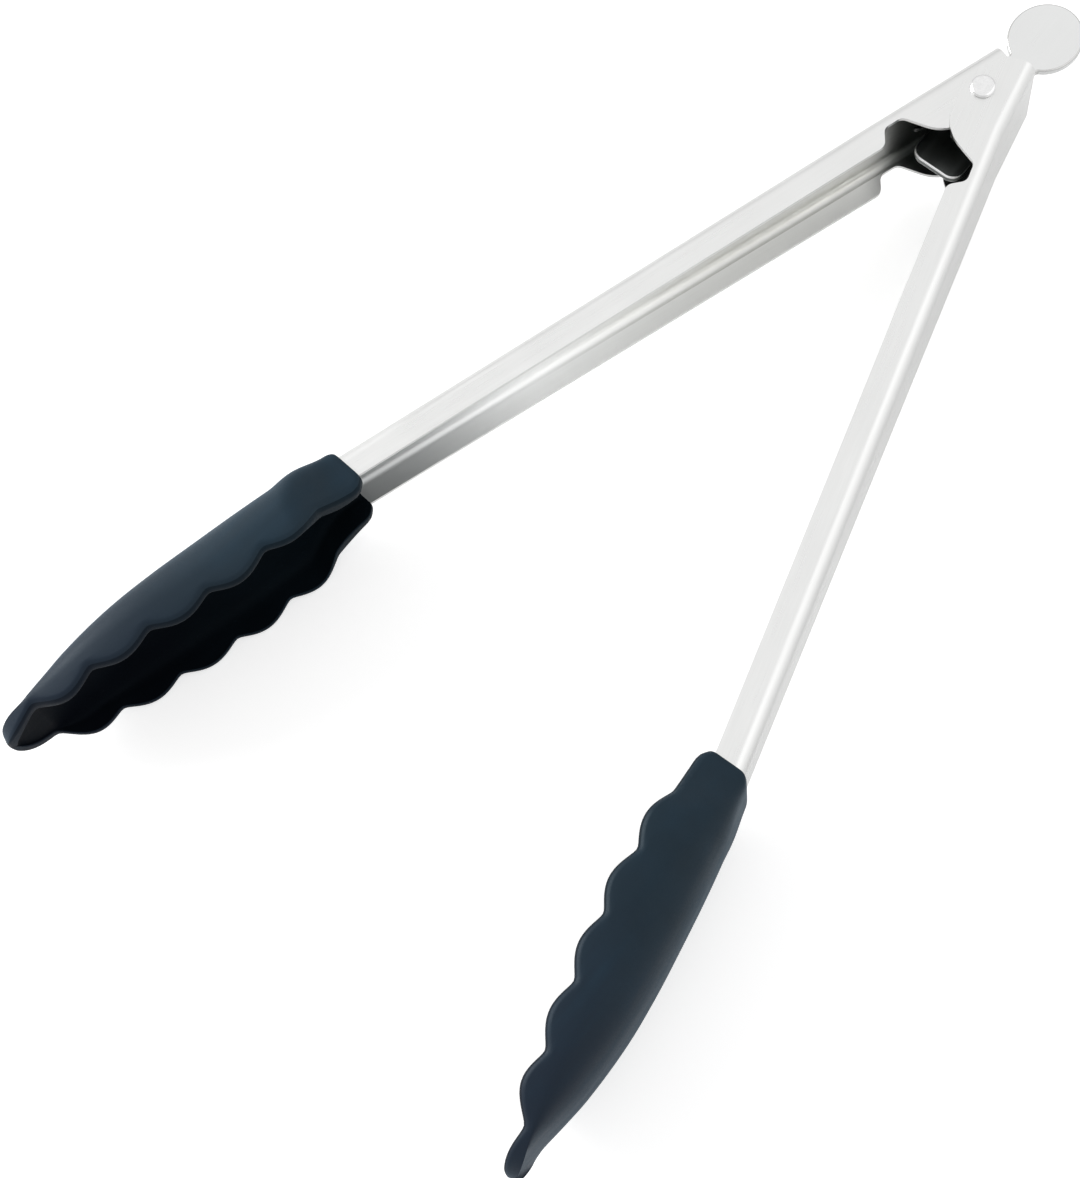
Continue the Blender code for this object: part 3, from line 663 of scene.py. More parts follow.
class HeadShape:
    """Outline of a silicone head, read along s from its collar."""

    def __init__(self, arms, heads):
        self.size = heads
        self.sheet = arms.sheet
        self.arm_half = arms.head_end_width / 2.0
        self.collar_half = self.arm_half + heads.collar_wall
        self.collar_back = WEB_BACK + heads.collar_wall
        self.collar_rim = FLANGE_EDGE + COLLAR_LIP
        self.trough_end = heads.length
        while self.rim_half(self.trough_end + NOSE_LIP) < heads.rim_wall * TROUGH_END_ROOM:
            self.trough_end -= TROUGH_END_STEP

    def flare(self, s):
        """How far the head has opened from the collar: 0 at the collar, 1 when full."""
        return ease((s - FLARE_START) / FLARE_LENGTH)

    def rim_half(self, s):
        """Half the width over the rims."""
        into_nose = max(0.0, s - (self.size.length - NOSE_LENGTH)) / NOSE_LENGTH
        nose = math.sqrt(max(0.0, 1.0 - into_nose ** NOSE_BLUNTNESS))
        full = max(self.size.width / 2.0 * nose, NOSE_END_WIDTH / 2.0)
        return self.collar_half + (full - self.collar_half) * self.flare(s)

    def back(self, s):
        """Where the back lies across the arm."""
        return smooth_value(BACK_CLIMB, s / self.size.length) * self.size.depth - self.collar_back

    def valley(self, s):
        """Where the valleys of the wavy rim lie across the arm."""
        return smooth_value(RIM_CLIMB, s / self.size.length) * self.size.depth + self.collar_rim

    def rim(self, s):
        """Where the rim lies across the arm; the last wave is the nose."""
        waves = (s - FIRST_CREST) / self.size.scallop_pitch
        lift = 0.0
        if waves >= -0.5:
            soft = SCALLOP_SOFTNESS
            lift = math.sqrt(math.cos(math.pi * waves) ** 2 + soft * soft) - soft
            lift /= math.sqrt(1.0 + soft * soft) - soft
        return self.valley(s) + self.size.scallop_height * lift

    def squareness(self, s):
        """Power of the section: boxy round the arm, softly bowed where the head has opened."""
        return COLLAR_SQUARENESS + (HEAD_SQUARENESS - COLLAR_SQUARENESS) * self.flare(s)

    def trough(self, s):
        """Floor level and half width of the hollow."""
        rim = self.rim(s)
        floor = self.back(s) + TROUGH_FLOOR * smooth_value(FLOOR_SHARES, s / self.size.length)
        floor = min(floor, rim - TROUGH_LEAST_DEPTH)
        inner = self.rim_half(s + NOSE_LIP) - self.size.rim_wall
        collar_inner = self.arm_half - self.sheet - POCKET_GAP - TROUGH_COLLAR_WALL
        inner = collar_inner + (inner - collar_inner) * self.flare(s)
        # The hollow runs out in a ramp behind the lip of the nose
        room = max(0.0, self.trough_end - s)
        depth = min(rim - floor, TROUGH_END_SLOPE * room + TROUGH_END_DEPTH)
        return rim - depth, max(inner, TROUGH_LEAST_HALF)

    def section(self, side, s, inset=0.0, squeeze=1.0):
        """Whole section of the head, with its hollow."""
        rim, wide = self.rim(s) - inset, self.rim_half(s) - inset
        low = self.back(s) - BACK_CROWN * self.flare(s) + inset
        edge = min(self.size.rim_round - inset, wide / 2.0, (rim - low) / 2.0)
        level = min(self.valley(s) - inset, rim)
        power = self.squareness(s)
        floor, inner = self.trough(s)
        lip_wall = (wide - edge - inner) * LIP_WALL_SHARE
        lip = min(self.size.lip_round, lip_wall, (rim - floor) * LIP_DEPTH_SHARE)
        lip = max(lip, LIP_LEAST)
        half = bowed_wall(low, level - edge, wide, power, WALL_STEPS)
        half.append(((level + rim) / 2.0 - edge + SHOULDER_LIFT, wide))
        half += quarter_round(rim - edge, wide - edge, edge, RIM_STEPS)[1:]
        shoulder = min(max(level - edge, (rim + floor) / 2.0), rim - lip)
        hollow = bowed_wall(floor, shoulder, inner, power, FLOOR_STEPS)
        turned_in = quarter_round(rim - lip, inner + lip, lip, LIP_STEPS)[1:]
        hollow += [(t, 2.0 * (inner + lip) - z) for t, z in turned_in]
        half += reversed(hollow)
        other = [(t, -z) for t, z in reversed(half[1:-1])]
        middle = (low + rim) / 2.0
        points = []
        for t, z in half + other:
            short = max(0.0, MOUTH_CORNER - (t - self.back(0.0))) / MOUTH_CORNER
            curl = MOUTH_CORNER * (1.0 - math.sqrt(1.0 - min(short, 1.0) ** 2))
            from_rim = (self.rim(0.0) - t) / (self.rim(0.0) - self.back(0.0))
            lean = MOUTH_LEAN * (max(0.0, min(1.0, from_rim)) - MOUTH_LEAN_MIDDLE)
            slip = (curl + lean) * max(0.0, 1.0 - s / MOUTH_FADE)
            points.append(on_arm(side, ARM_LENGTH + s + slip, middle + (t - middle) * squeeze, z))
        return points

    def sections(self, side):
        """Sections from the collar's rounded mouth to the rounded nose."""
        rows = []
        for step in range(MOUTH_STEPS + 1):
            angle = 0.5 * math.pi * step / MOUTH_STEPS
            s = MOUTH_ROUND * (1.0 - math.cos(angle))
            rows.append(self.section(side, s, inset=MOUTH_INSET * (1.0 - math.sin(angle))))
        length = self.size.length
        nose = length * TIP_SHARE
        for index in range(HEAD_STEPS):
            s = MOUTH_LENGTH + (nose - MOUTH_LENGTH) * index / HEAD_STEPS
            rows.append(self.section(side, s))
        for index in range(TIP_STEPS + 1):
            s = nose + (length - nose) * math.sin(0.5 * math.pi * index / TIP_STEPS)
            into_tip = max(0.0, s - (length - TIP_ROUND)) / TIP_ROUND
            squeeze = math.sqrt(1.0 - TIP_SQUEEZE * into_tip ** 2)
            rows.append(self.section(side, s, squeeze=squeeze))
        return rows


def tongue_pocket(side, shape, bend):
    """Room for the end of an arm inside a head."""
    width = 2.0 * (shape.arm_half + POCKET_GAP)
    sheet = shape.sheet + 2.0 * POCKET_GAP
    edge = FLANGE_EDGE + POCKET_GAP
    slope_start = ARM_LENGTH + TONGUE_SETBACK + POCKET_GAP
    places = (
        (ARM_LENGTH - OVERRUN, edge),
        (slope_start, edge),
        (slope_start + TONGUE_SLOPE, edge - TONGUE_DEPTH),
        (ARM_END + POCKET_GAP, edge - TONGUE_DEPTH),
    )
    back = WEB_BACK + POCKET_GAP
    return loft([channel_section(side, s, width, sheet, bend, back, top) for s, top in places])


def core_room(side, shape):
    """Room for the stiff core inside a head."""
    end = shape.size.length * CORE_END_SHARE
    channel_half = shape.arm_half - shape.sheet - CORE_GAP
    beyond = {0: -CORE_GAP, CORE_STEPS: CORE_GAP}
    rows = []
    for index in range(CORE_STEPS + 1):
        s = CORE_START + (end - CORE_START) * index / CORE_STEPS + beyond.get(index, 0.0)
        thick = TROUGH_FLOOR * smooth_value(FLOOR_SHARES, s / shape.size.length)
        low = shape.back(s) + thick * CORE_LOW_SHARE - CORE_GAP
        high = shape.back(s) + thick * CORE_HIGH_SHARE + CORE_GAP
        half = min(channel_half, shape.rim_half(s) * CORE_WIDTH_SHARE) + CORE_GAP
        corners = [
            (t, z, CORE_ROUND) for t, z in ((low, -half), (low, half), (high, half), (high, -half))]
        outline = rounded_outline(corners, CORE_CORNER_STEPS)
        rows.append([on_arm(side, ARM_LENGTH + s, t, z) for t, z in outline])
    return loft(rows)


def build_head(name, side, shape, bend, materials):
    """Silicone head with its trough, wavy rims, arm pocket and core room."""
    sections = shape.sections(side)
    form = loft(sections)
    # The hollow lies round the middle of each section and gets the trough's painted shade; the
    # rims' painted shade starts halfway over them
    count = len(sections[0])
    middle = count // 2
    trough = FLOOR_STEPS + 1
    rims = trough + LIP_STEPS + RIM_STEPS // 2
    line_hollow(form, count, range(middle - rims, middle + rims + 1), 1)
    line_hollow(form, count, range(middle - trough, middle + trough + 1), 2)
    head = make_piece(name, form, materials)
    cutters = []
    cut(head, name + "_pocket", tongue_pocket(side, shape, bend), "DIFFERENCE", cutters)
    cut(head, name + "_core_room", core_room(side, shape), "DIFFERENCE", cutters)
    return settle(head, cutters, sharp=55.0)


# Hinge


def build_rivet(sizes, half_width, material):
    """Pivot rivet: shank and two low domed heads with a soft shoulder."""
    seat = half_width + RUN_GAP
    wide, height = sizes.head_radius, sizes.head_height
    upper = [(sizes.shank, seat), (wide - RIVET_EASE, seat), (wide, seat + RIVET_EASE)]
    upper += arc_points(
        (wide - RIVET_CROWN, seat + RIVET_EDGE_SHARE * height),
        (RIVET_CROWN, (1.0 - RIVET_EDGE_SHARE) * height), 0.0, 0.5 * math.pi, CROWN_STEPS,
    )
    upper.append((0.0, seat + height))
    lower = [(radius, -z) for radius, z in reversed(upper)]
    return settle(make_piece("rivet", turned(lower + upper), (material,)), sharp=40.0)


def build_spacer(sizes, inner, sheet, material):
    """Tube that keeps the lock plate midway between the cheeks."""
    low = sizes.lock_sheet / 2.0 + SEAT_GAP
    high = inner / 2.0 - sheet - SEAT_GAP
    bore = sizes.shank + RUN_GAP
    outside = bore + SPACER_WALL
    ease_by = SPACER_EASE
    profile = (
        (bore, low + ease_by), (bore + ease_by, low),
        (outside - ease_by, low), (outside, low + ease_by),
        (outside, high - ease_by), (outside - ease_by, high),
        (bore + ease_by, high), (bore, high - ease_by),
    )
    return settle(make_piece("spacer", turned(profile), (material,)), sharp=40.0)


def spring_path(sizes, inner, sheet):
    """Centre line of the return spring, from the left leg through the coil to the right."""
    wire = sizes.wire / 2.0
    high = -(sizes.lock_sheet / 2.0 + SEAT_GAP + wire)
    low = -(inner / 2.0 - sheet - SEAT_GAP - wire)
    reach_t = -(WEB_BACK - sheet - SEAT_GAP - wire)
    leg_x = -(SPRING_LEG * math.sin(OPEN_HALF_ANGLE) - reach_t * math.cos(OPEN_HALF_ANGLE))
    leg_y = -(SPRING_LEG * math.cos(OPEN_HALF_ANGLE) + reach_t * math.sin(OPEN_HALF_ANGLE))
    lean = math.acos(sizes.coil / math.hypot(leg_x, leg_y))
    start = math.atan2(leg_y, leg_x) % (2.0 * math.pi) - lean
    end = math.atan2(leg_y, -leg_x) % (2.0 * math.pi) + lean
    turn = (end - start) % (2.0 * math.pi) - 2.0 * math.pi * (sizes.turns + 1)
    steps = COIL_STEPS * (sizes.turns + 1)
    coil = [
        Vector((x, y, high + (low - high) * step / steps))
        for step, (x, y) in enumerate(
            arc_points((0.0, 0.0), (sizes.coil, sizes.coil), start, turn, steps))
    ]
    left_end, right_end = Vector((leg_x, leg_y, high)), Vector((-leg_x, leg_y, low))
    left = [left_end.lerp(coil[0], step / LEG_STEPS) for step in range(LEG_STEPS)]
    right = [coil[-1].lerp(right_end, step / LEG_STEPS) for step in range(1, LEG_STEPS + 1)]
    return left + coil + right


def wire_rings(points, radius):
    """Rings of a round wire along a path, narrowing where its ends round off."""
    rings = []
    up = Vector((0.0, 0.0, 1.0))
    last = len(points) - 1
    for index, point in enumerate(points):
        ahead = (points[min(index + 1, last)] - points[max(index - 1, 0)]).normalized()
        across = ahead.cross(up).normalized()
        above = across.cross(ahead)
        width = radius * WIRE_ENDS[min(index, last - index, len(WIRE_ENDS) - 1)]
        ring = arc_points((0.0, 0.0), (width, width), 0.0, 2.0 * math.pi, WIRE_SIDES)[:-1]
        rings.append([point + across * x + above * y for x, y in ring])
    return rings


def soft_ended(points, radius):
    """Path with close points at both ends, so that the wire's ends are rounded."""
    ends = []
    for end, inner in ((points[0], points[1]), (points[-1], points[-2])):
        along = (inner - end).normalized()
        ends.append([end, end + along * radius * WIRE_END_STEP, end + along * radius])
    return ends[0] + points[1:-1] + ends[1][::-1]


def build_spring(sizes, inner, sheet, material):
    """Return spring in two lengths that meet in mid-coil."""
    radius = sizes.wire / 2.0
    points = soft_ended(spring_path(sizes, inner, sheet), radius)
    rings = wire_rings(points, radius)
    middle = len(points) // 2
    for name, length, body, free in (
        ("spring_left", rings[:middle + 1], "left_half", points[0]),
        ("spring_right", rings[middle:], "right_half", points[-1]),
    ):
        piece = make_piece(name, loft(length), (material,))
        settle(piece, sharp=60.0)
        piece.modifiers.clear()
        piece.data.transform(Matrix.Translation(PIVOT))
        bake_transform(piece)
    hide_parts("torsion_spring")


def lock_outline(sizes):
    """Outline of the lock plate: oval tab, straight neck, tapering foot."""
    neck, foot = NECK_WIDTH / 2.0, FOOT_WIDTH / 2.0
    across, along = sizes.tab_width / 2.0, sizes.tab_length / 2.0
    centre = LOCK_END - PIVOT.y - along
    meet = math.asin(neck / across)
    tab = arc_points(
        (0.0, centre), (across, along), meet - 0.5 * math.pi, 2.0 * (math.pi - meet), TAB_STEPS)
    corners = [
        (-neck, FOOT_TAPER - FOOT_SHOULDER, NECK_ROUND), (-foot, -FOOT_SHOULDER, NECK_ROUND),
        (-foot, -FOOT_END, FOOT_ROUND), (foot, -FOOT_END, FOOT_ROUND),
        (foot, -FOOT_SHOULDER, NECK_ROUND), (neck, FOOT_TAPER - FOOT_SHOULDER, NECK_ROUND),
    ]
    return rounded_outline(corners + [(x, y, 0.0) for x, y in tab], LOCK_CORNER_STEPS)


def build_lock_plate(sizes, materials):
    """Flat plate with a slot for the rivet and rolled edges."""
    half = sizes.lock_sheet / 2.0
    plate = make_piece("lock_plate_finished", prism(lock_outline(sizes), -half, half), materials)
    hole = (sizes.shank + RUN_GAP,) * 2
    slot = arc_points((0.0, 0.0), hole, 0.0, math.pi, SLOT_STEPS)
    slot += arc_points((0.0, -LOCK_TRAVEL), hole, math.pi, math.pi, SLOT_STEPS)
    cutters = []
    cut(plate, "lock_slot", prism(slot, -2.0 * half, 2.0 * half), "DIFFERENCE", cutters)
    ease_edges(plate, LOCK_EDGE_ROUND, segments=4, angle=60.0, material=1)
    return settle(plate, cutters)


# Surfaces


def add_node(tree, kind, inputs=(), **settings):
    """New shader node with its own settings; each input is a socket and a value or source."""
    node = tree.nodes.new("ShaderNode" + kind)
    for name, value in settings.items():
        setattr(node, name, value)
    for socket, value in inputs:
        if isinstance(value, bpy.types.NodeSocket):
            tree.links.new(value, node.inputs[socket])
        else:
            node.inputs[socket].default_value = value
    return node


def combined(tree, operation, first, second):
    """Sum, product or larger one of two values."""
    return add_node(tree, "Math", ((0, first), (1, second)), operation=operation).outputs["Value"]


def smooth_range(tree, value, low, high, to_low, to_high):
    """A range of values mapped smoothly to another."""
    inputs = (
        ("Value", value), ("From Min", low), ("From Max", high),
        ("To Min", to_low), ("To Max", to_high),
    )
    return add_node(tree, "MapRange", inputs, interpolation_type="SMOOTHSTEP").outputs["Result"]


def scaled(colour, share):
    """Colour made darker or lighter by a share."""
    return tuple(min(1.0, channel * share) for channel in colour)


class Surface:
    """Material with the shared ways of mixing textures into its shader."""

    def __init__(self, name, levels):
        old = bpy.data.materials.get(name)
        if old is not None:
            bpy.data.materials.remove(old)
        self.material = bpy.data.materials.new(name)
        self.material.use_nodes = True
        self.tree = self.material.node_tree
        self.shader = self.tree.nodes["Principled BSDF"]
        for socket, level in levels.items():
            self.shader.inputs[socket].default_value = level
        self.place = self.add("TexCoord").outputs["Object"]

    def add(self, kind, inputs=(), **settings):
        """New node in this material."""
        return add_node(self.tree, kind, inputs, **settings)

    def stretched(self, scale=(1.0, 1.0, 1.0), swing=0.0):
        """Coordinates about the pivot, turned with an arm and scaled per metre."""
        inputs = (
            ("Vector", self.place), ("Location", PIVOT), ("Rotation", (0.0, 0.0, swing)),
            ("Scale", tuple(1.0 / axis for axis in scale)),
        )
        return self.add("Mapping", inputs, vector_type="TEXTURE").outputs["Vector"]

    def along(self, swing=0.0):
        """Place along y, counted from the pivot."""
        return self.add("SeparateXYZ", (("Vector", self.stretched(swing=swing)),)).outputs["Y"]

    def noise(self, vector, detail=3.0, roughness=0.55, scale=1.0):
        """Noise between 0 and 1."""
        inputs = (
            ("Vector", vector), ("Scale", scale), ("Detail", detail), ("Roughness", roughness))
        return self.add("TexNoise", inputs).outputs["Fac"]

    def spread(self, value, low, high, to_low=0.0, to_high=1.0):
        """Map a range of values to another."""
        return smooth_range(self.tree, value, low, high, to_low, to_high)

    def combine(self, operation, first, second):
        """Sum, product or larger one of two values."""
        return combined(self.tree, operation, first, second)

    def blend_colours(self, factor, *colours):
        """Mix of two colours or colour sockets."""
        dark, light = (
            item if isinstance(item, bpy.types.NodeSocket) else (*item, 1.0) for item in colours)
        inputs = ((MIX_FACTOR, factor), (MIX_DARK, dark), (MIX_LIGHT, light))
        return self.add("Mix", inputs, data_type="RGBA").outputs[MIX_RESULT]

    def finished(self, colour, roughness, height, strength, distance):
        """Feed the shader its colour, roughness and bump, and give the material."""
        inputs = (("Height", height), ("Strength", strength), ("Distance", distance))
        normal = self.add("Bump", inputs).outputs["Normal"]
        sources = {"Base Color": colour, "Roughness": roughness, "Normal": normal}
        for socket, source in sources.items():
            self.tree.links.new(source, self.shader.inputs[socket])
        return self.material


def brushed_steel(
    name, colour, roughness, brushing,
    grain=(3200.0, 55.0, 3200.0), dark=0.97, swing=0.0, painted_light=(),
):
    """Satin sheet with fine lines along the piece, soft cloudy patches and a few rubbed marks.

    Each painted light is a colour, painted shade or painted highlight, that the steel turns to
    between two places along y.
    """
    surface = Surface(name, {"Metallic": 1.0})
    lines = surface.noise(surface.stretched(grain, swing), detail=4.0, roughness=0.65)
    clouds = surface.noise(surface.place, detail=2.0, scale=55.0)
    coarse = tuple(axis * 0.22 for axis in grain)
    marks = surface.noise(surface.stretched(coarse, swing), detail=2.0)
    mixed = surface.combine("ADD", surface.combine("MULTIPLY", lines, 0.6),
                            surface.combine("MULTIPLY", clouds, 0.4))
    tone = surface.blend_colours(
        surface.spread(mixed, 0.3, 0.7), scaled(colour, dark), scaled(colour, 1.01))
    if painted_light:
        along = surface.along(swing)
        for painted_colour, start, full in painted_light:
            tone = surface.blend_colours(surface.spread(along, start, full), tone, painted_colour)
    rubbed = surface.spread(marks, 0.35, 0.75, -0.03, 0.07)
    rough = surface.spread(mixed, 0.25, 0.75, roughness - 0.05, roughness + 0.07)
    return surface.finished(tone, surface.combine("ADD", rough, rubbed), lines, brushing, 0.02 * MM)


def turned_steel(name, colour, roughness):
    """Lathe-turned steel: fine rings about the pivot's axis and small nicks."""
    surface = Surface(name, {"Metallic": 1.0})
    inputs = (("Vector", surface.stretched()), ("Scale", 1300.0), ("Distortion", 0.6))
    rings = surface.add("TexWave", inputs, wave_type="RINGS", rings_direction="Z")
    nicks = surface.noise(surface.place, detail=3.0, scale=900.0)
    tone = surface.blend_colours(surface.spread(nicks, 0.3, 0.7), scaled(colour, 0.94), colour)
    rough = surface.spread(nicks, 0.3, 0.75, roughness - 0.04, roughness + 0.08)
    return surface.finished(tone, rough, rings.outputs["Fac"], 0.12, 0.02 * MM)


def matte_silicone(name, colour, grain, gloss, sheen):
    """Dark moulded silicone: powdery matte grain, faint blotches and a bluish bloom."""
    surface = Surface(name, {
        "Specular IOR Level": gloss, "Specular Tint": (0.80, 0.94, 1.0, 1.0),
        "Sheen Weight": sheen, "Sheen Roughness": 0.35, "Sheen Tint": (0.45, 0.75, 1.0, 1.0),
    })
    fine = surface.noise(surface.place, detail=4.0, roughness=0.7, scale=2600.0)
    blotch = surface.noise(surface.place, detail=3.0, scale=42.0)
    smear = surface.noise(surface.stretched((260.0, 38.0, 260.0)), detail=2.0)
    bloom = surface.combine("MULTIPLY", surface.spread(blotch, 0.35, 0.7),
                            surface.spread(smear, 0.3, 0.75))
    base = surface.blend_colours(
        surface.spread(blotch, 0.3, 0.7), scaled(colour, 0.85), scaled(colour, 1.12))
    # Painted shade: the heads turn darker and bluer towards their noses
    nose_shade = tuple(channel * share for channel, share in zip(colour, (0.85, 0.62, 0.78)))
    towards_nose = surface.spread(surface.along(), -185.0 * MM, -250.0 * MM)
    base = surface.blend_colours(towards_nose, base, nose_shade)
    bloom = surface.combine("MULTIPLY", bloom, 0.35)
    tone = surface.blend_colours(bloom, base, scaled(colour, 1.9))
    rough = surface.combine("ADD", surface.spread(fine, 0.3, 0.7, 0.48, 0.58),
                            surface.spread(smear, 0.3, 0.7, -0.03, 0.05))
    return surface.finished(tone, rough, fine, grain, 0.03 * MM)


def moulded_nylon(name, colour):
    """Stiff nylon with a fine spark-eroded grain."""
    surface = Surface(name, {})
    fine = surface.noise(surface.place, detail=3.0, scale=1800.0)
    broad = surface.noise(surface.place, detail=2.0, scale=90.0)
    tone = surface.blend_colours(broad, scaled(colour, 0.85), scaled(colour, 1.15))
    return surface.finished(tone, surface.spread(fine, 0.3, 0.7, 0.42, 0.56), fine, 0.3, 0.03 * MM)


def white_ground(name, colour, glow, mirrored):
    """Pale floor that keeps shadows and looks whiter to the camera and in reflections."""
    surface = Surface(name, {"Roughness": 0.85, "Specular IOR Level": 0.15})
    grain = surface.noise(surface.place, detail=2.0, scale=3.0)
    tone = surface.blend_colours(grain, scaled(colour, 0.995), colour)
    path = surface.add("LightPath").outputs
    shiny = surface.combine("MAXIMUM", path["Is Glossy Ray"], path["Is Transmission Ray"])
    seen = surface.combine(
        "MAXIMUM", surface.combine("MULTIPLY", path["Is Camera Ray"], glow),
        surface.combine("MULTIPLY", shiny, mirrored))
    lift = surface.add("Emission", (("Strength", seen),)).outputs[0]
    both = surface.add("AddShader", ((0, surface.shader.outputs[0]), (1, lift))).outputs[0]
    links = surface.tree.links
    links.new(tone, surface.shader.inputs["Base Color"])
    links.new(both, surface.tree.nodes["Material Output"].inputs["Surface"])
    return surface.material


# Stage


def build_floor(settings):
    """Large pale floor."""
    rings = []
    for radius in FLOOR_RADII:
        circle = arc_points((0.0, 0.0), (radius, radius), 0.0, 2.0 * math.pi, FLOOR_SIDES)[:-1]
        rings.append([(x, y, 0.0) for x, y in circle])
    ground = white_ground("pale_floor", settings.floor, settings.glow, settings.mirrored)
    floor = make_piece("floor", loft(rings, caps=(0,)), (ground,))
    floor.location = (0.0, 0.0, -FLOOR_DROP)


def build_backdrop(settings):
    """Even pale surroundings: white where the camera or a shiny surface sees them."""
    world = bpy.data.worlds.new("studio")
    bpy.context.scene.world = world
    world.use_nodes = True
    tree = world.node_tree
    tree.nodes.clear()
    path = add_node(tree, "LightPath").outputs
    seen = combined(tree, "MAXIMUM", path["Is Camera Ray"], path["Is Glossy Ray"])
    seen = combined(tree, "MAXIMUM", seen, path["Is Transmission Ray"])
    around = add_node(tree, "TexCoord").outputs["Generated"]
    height = add_node(tree, "SeparateXYZ", (("Vector", around),)).outputs["Z"]
    sky = smooth_range(tree, height, 0.0, 0.75, settings.horizon, 1.0)
    shown = combined(tree, "MAXIMUM", path["Is Camera Ray"], sky)
    inputs = (("Value", seen), ("To Min", settings.ambient), ("To Max", shown))
    level = add_node(tree, "MapRange", inputs).outputs["Result"]
    inputs = (("Color", (1.0, 1.0, 1.0, 1.0)), ("Strength", level))
    light = add_node(tree, "Background", inputs).outputs[0]
    add_node(tree, "OutputWorld", (("Surface", light),))


def build_lamp(name, power, size, direction):
    """Large soft lamp that looks at the tongs."""
    forget(name)
    lamp = bpy.data.lights.new(name, "AREA")
    lamp.shape = "DISK"
    lamp.size = size
    lamp.energy = power
    holder = bpy.data.objects.new(name, lamp)
    towards = Vector(direction).normalized()
    holder.location = towards * LAMP_DISTANCE
    holder.rotation_euler = towards.to_track_quat("Z", "Y").to_euler()
    bpy.context.scene.collection.objects.link(holder)


def camera_axes():
    """Right, up and forward directions of the photograph's camera."""
    azimuth, elevation, roll = CAMERA_AZIMUTH, CAMERA_ELEVATION, CAMERA_ROLL
    flat = math.cos(elevation)
    ahead = Vector((-math.sin(azimuth) * flat, math.cos(azimuth) * flat, -math.sin(elevation)))
    level = Vector((math.cos(azimuth), math.sin(azimuth), 0.0))
    above = level.cross(ahead)
    right = level * math.cos(roll) + above * math.sin(roll)
    up = above * math.cos(roll) - level * math.sin(roll)
    return right, up, ahead


def build_camera():
    """Camera at the photograph's place, with its frame."""
    forget("photo_camera")
    right, up, ahead = camera_axes()
    data = bpy.data.cameras.new("photo_camera")
    data.lens = CAMERA_LENS
    data.sensor_width = SENSOR_WIDTH
    data.sensor_fit = "AUTO"
    data.clip_start = 0.01
    data.clip_end = 20.0
    camera = bpy.data.objects.new("photo_camera", data)
    turn = Matrix((right, up, -ahead)).transposed().to_4x4()
    spot = PIVOT - (right * CAMERA_ACROSS + up * CAMERA_UP + ahead * CAMERA_DISTANCE)
    camera.matrix_world = Matrix.Translation(spot) @ turn
    bpy.context.scene.collection.objects.link(camera)
    bpy.context.scene.camera = camera


# Operators and panel


class TONGS_OT_arms(bpy.types.Operator):
    """Fold, trim and drill both arms."""

    bl_idname = "tongs.arms"
    bl_label = "Fold Arms"

    def execute(self, context):
        sizes, finish = context.scene.tongs_arms, context.scene.tongs_finish
        # Painted shade: the inside of the fold turns near-black deep in the hinge
        hinge_shade = (finish.hinge_shade_steel, -27.0 * MM, -15.0 * MM)
        # Painted reflection of the dark heads: the inside of the fold dims towards them
        head_shade = (finish.head_shade_steel, -118.0 * MM, -172.0 * MM)
        # The web's painted shade fades back to the lightened inner steel away from the hinge
        unshaded_web = (finish.lightened_inner_steel, -60.0 * MM, -140.0 * MM)
        # Name, colour, roughness, share of the brushing and painted light, in the order of the
        # slots
        looks = (
            ("satin_steel_", finish.steel, 0.31, 1.0, ()),
            # Painted light: lightened copy of the steel inside the fold
            ("lightened_steel_", finish.lightened_inner_steel, 0.36, 1.0, (hinge_shade, head_shade)),
            # Eased edges: greyer cut steel with painted shade that draws the seam between the
            # cheeks
            ("eased_steel_", finish.cut_and_shaded_steel, 0.38, 0.5, ()),
            # Painted shade on the web near the hinge
            ("shaded_web_steel_", finish.web_steel, 0.40, 1.0, (unshaded_web, hinge_shade, head_shade)),
        )
        for name, side in SIDES:
            swing = -side * OPEN_HALF_ANGLE
            materials = [
                brushed_steel(
                    look + name, colour, roughness, finish.brushing * share,
                    swing=swing, painted_light=painted_light)
                for look, colour, roughness, share, painted_light in looks
            ]
            outer = name == "right"
            width = sizes.hinge_width if outer else inner_width(sizes)
            arm = build_arm("arm_" + name, side, width, outer, sizes, materials)
            place(arm, name + "_half", (name + "_arm",), swing)
        return {"FINISHED"}


class TONGS_OT_heads(bpy.types.Operator):
    """Mould both silicone heads with their scalloped rims."""

    bl_idname = "tongs.heads"
    bl_label = "Mould Heads"

    def execute(self, context):
        arms, heads = context.scene.tongs_arms, context.scene.tongs_heads
        finish = context.scene.tongs_finish
        # Name, colour, gloss and sheen, in the order of the slots
        looks = (
            ("matte_silicone", finish.silicone, 0.26, 0.14),
            # Painted shade along the rims
            ("shaded_rim_silicone", finish.shaded_rim_silicone, 0.12, 0.0),
            # Painted shade inside the troughs
            ("shaded_trough_silicone", finish.shaded_trough_silicone, 0.03, 0.0),
        )
        materials = [
            matte_silicone(look, colour, finish.silicone_grain, gloss, sheen)
            for look, colour, gloss, sheen in looks
        ]
        shape = HeadShape(arms, heads)
        for name, side in SIDES:
            head = build_head("head_" + name, side, shape, arms.bend, materials)
            nodes = (name + "_silicone_head",)
            place(head, name + "_half", nodes, -side * OPEN_HALF_ANGLE)
        return {"FINISHED"}


class TONGS_OT_cores(bpy.types.Operator):
    """Give the stiff cores inside the heads their nylon."""

    bl_idname = "tongs.cores"
    bl_label = "Finish Cores"

    def execute(self, context):
        nylon = moulded_nylon("moulded_nylon", context.scene.tongs_finish.nylon)
        for name in ("left_head_core", "right_head_core"):
            core = frame["nodes"][name]
            core.data.materials.clear()
            core.data.materials.append(nylon)
        return {"FINISHED"}


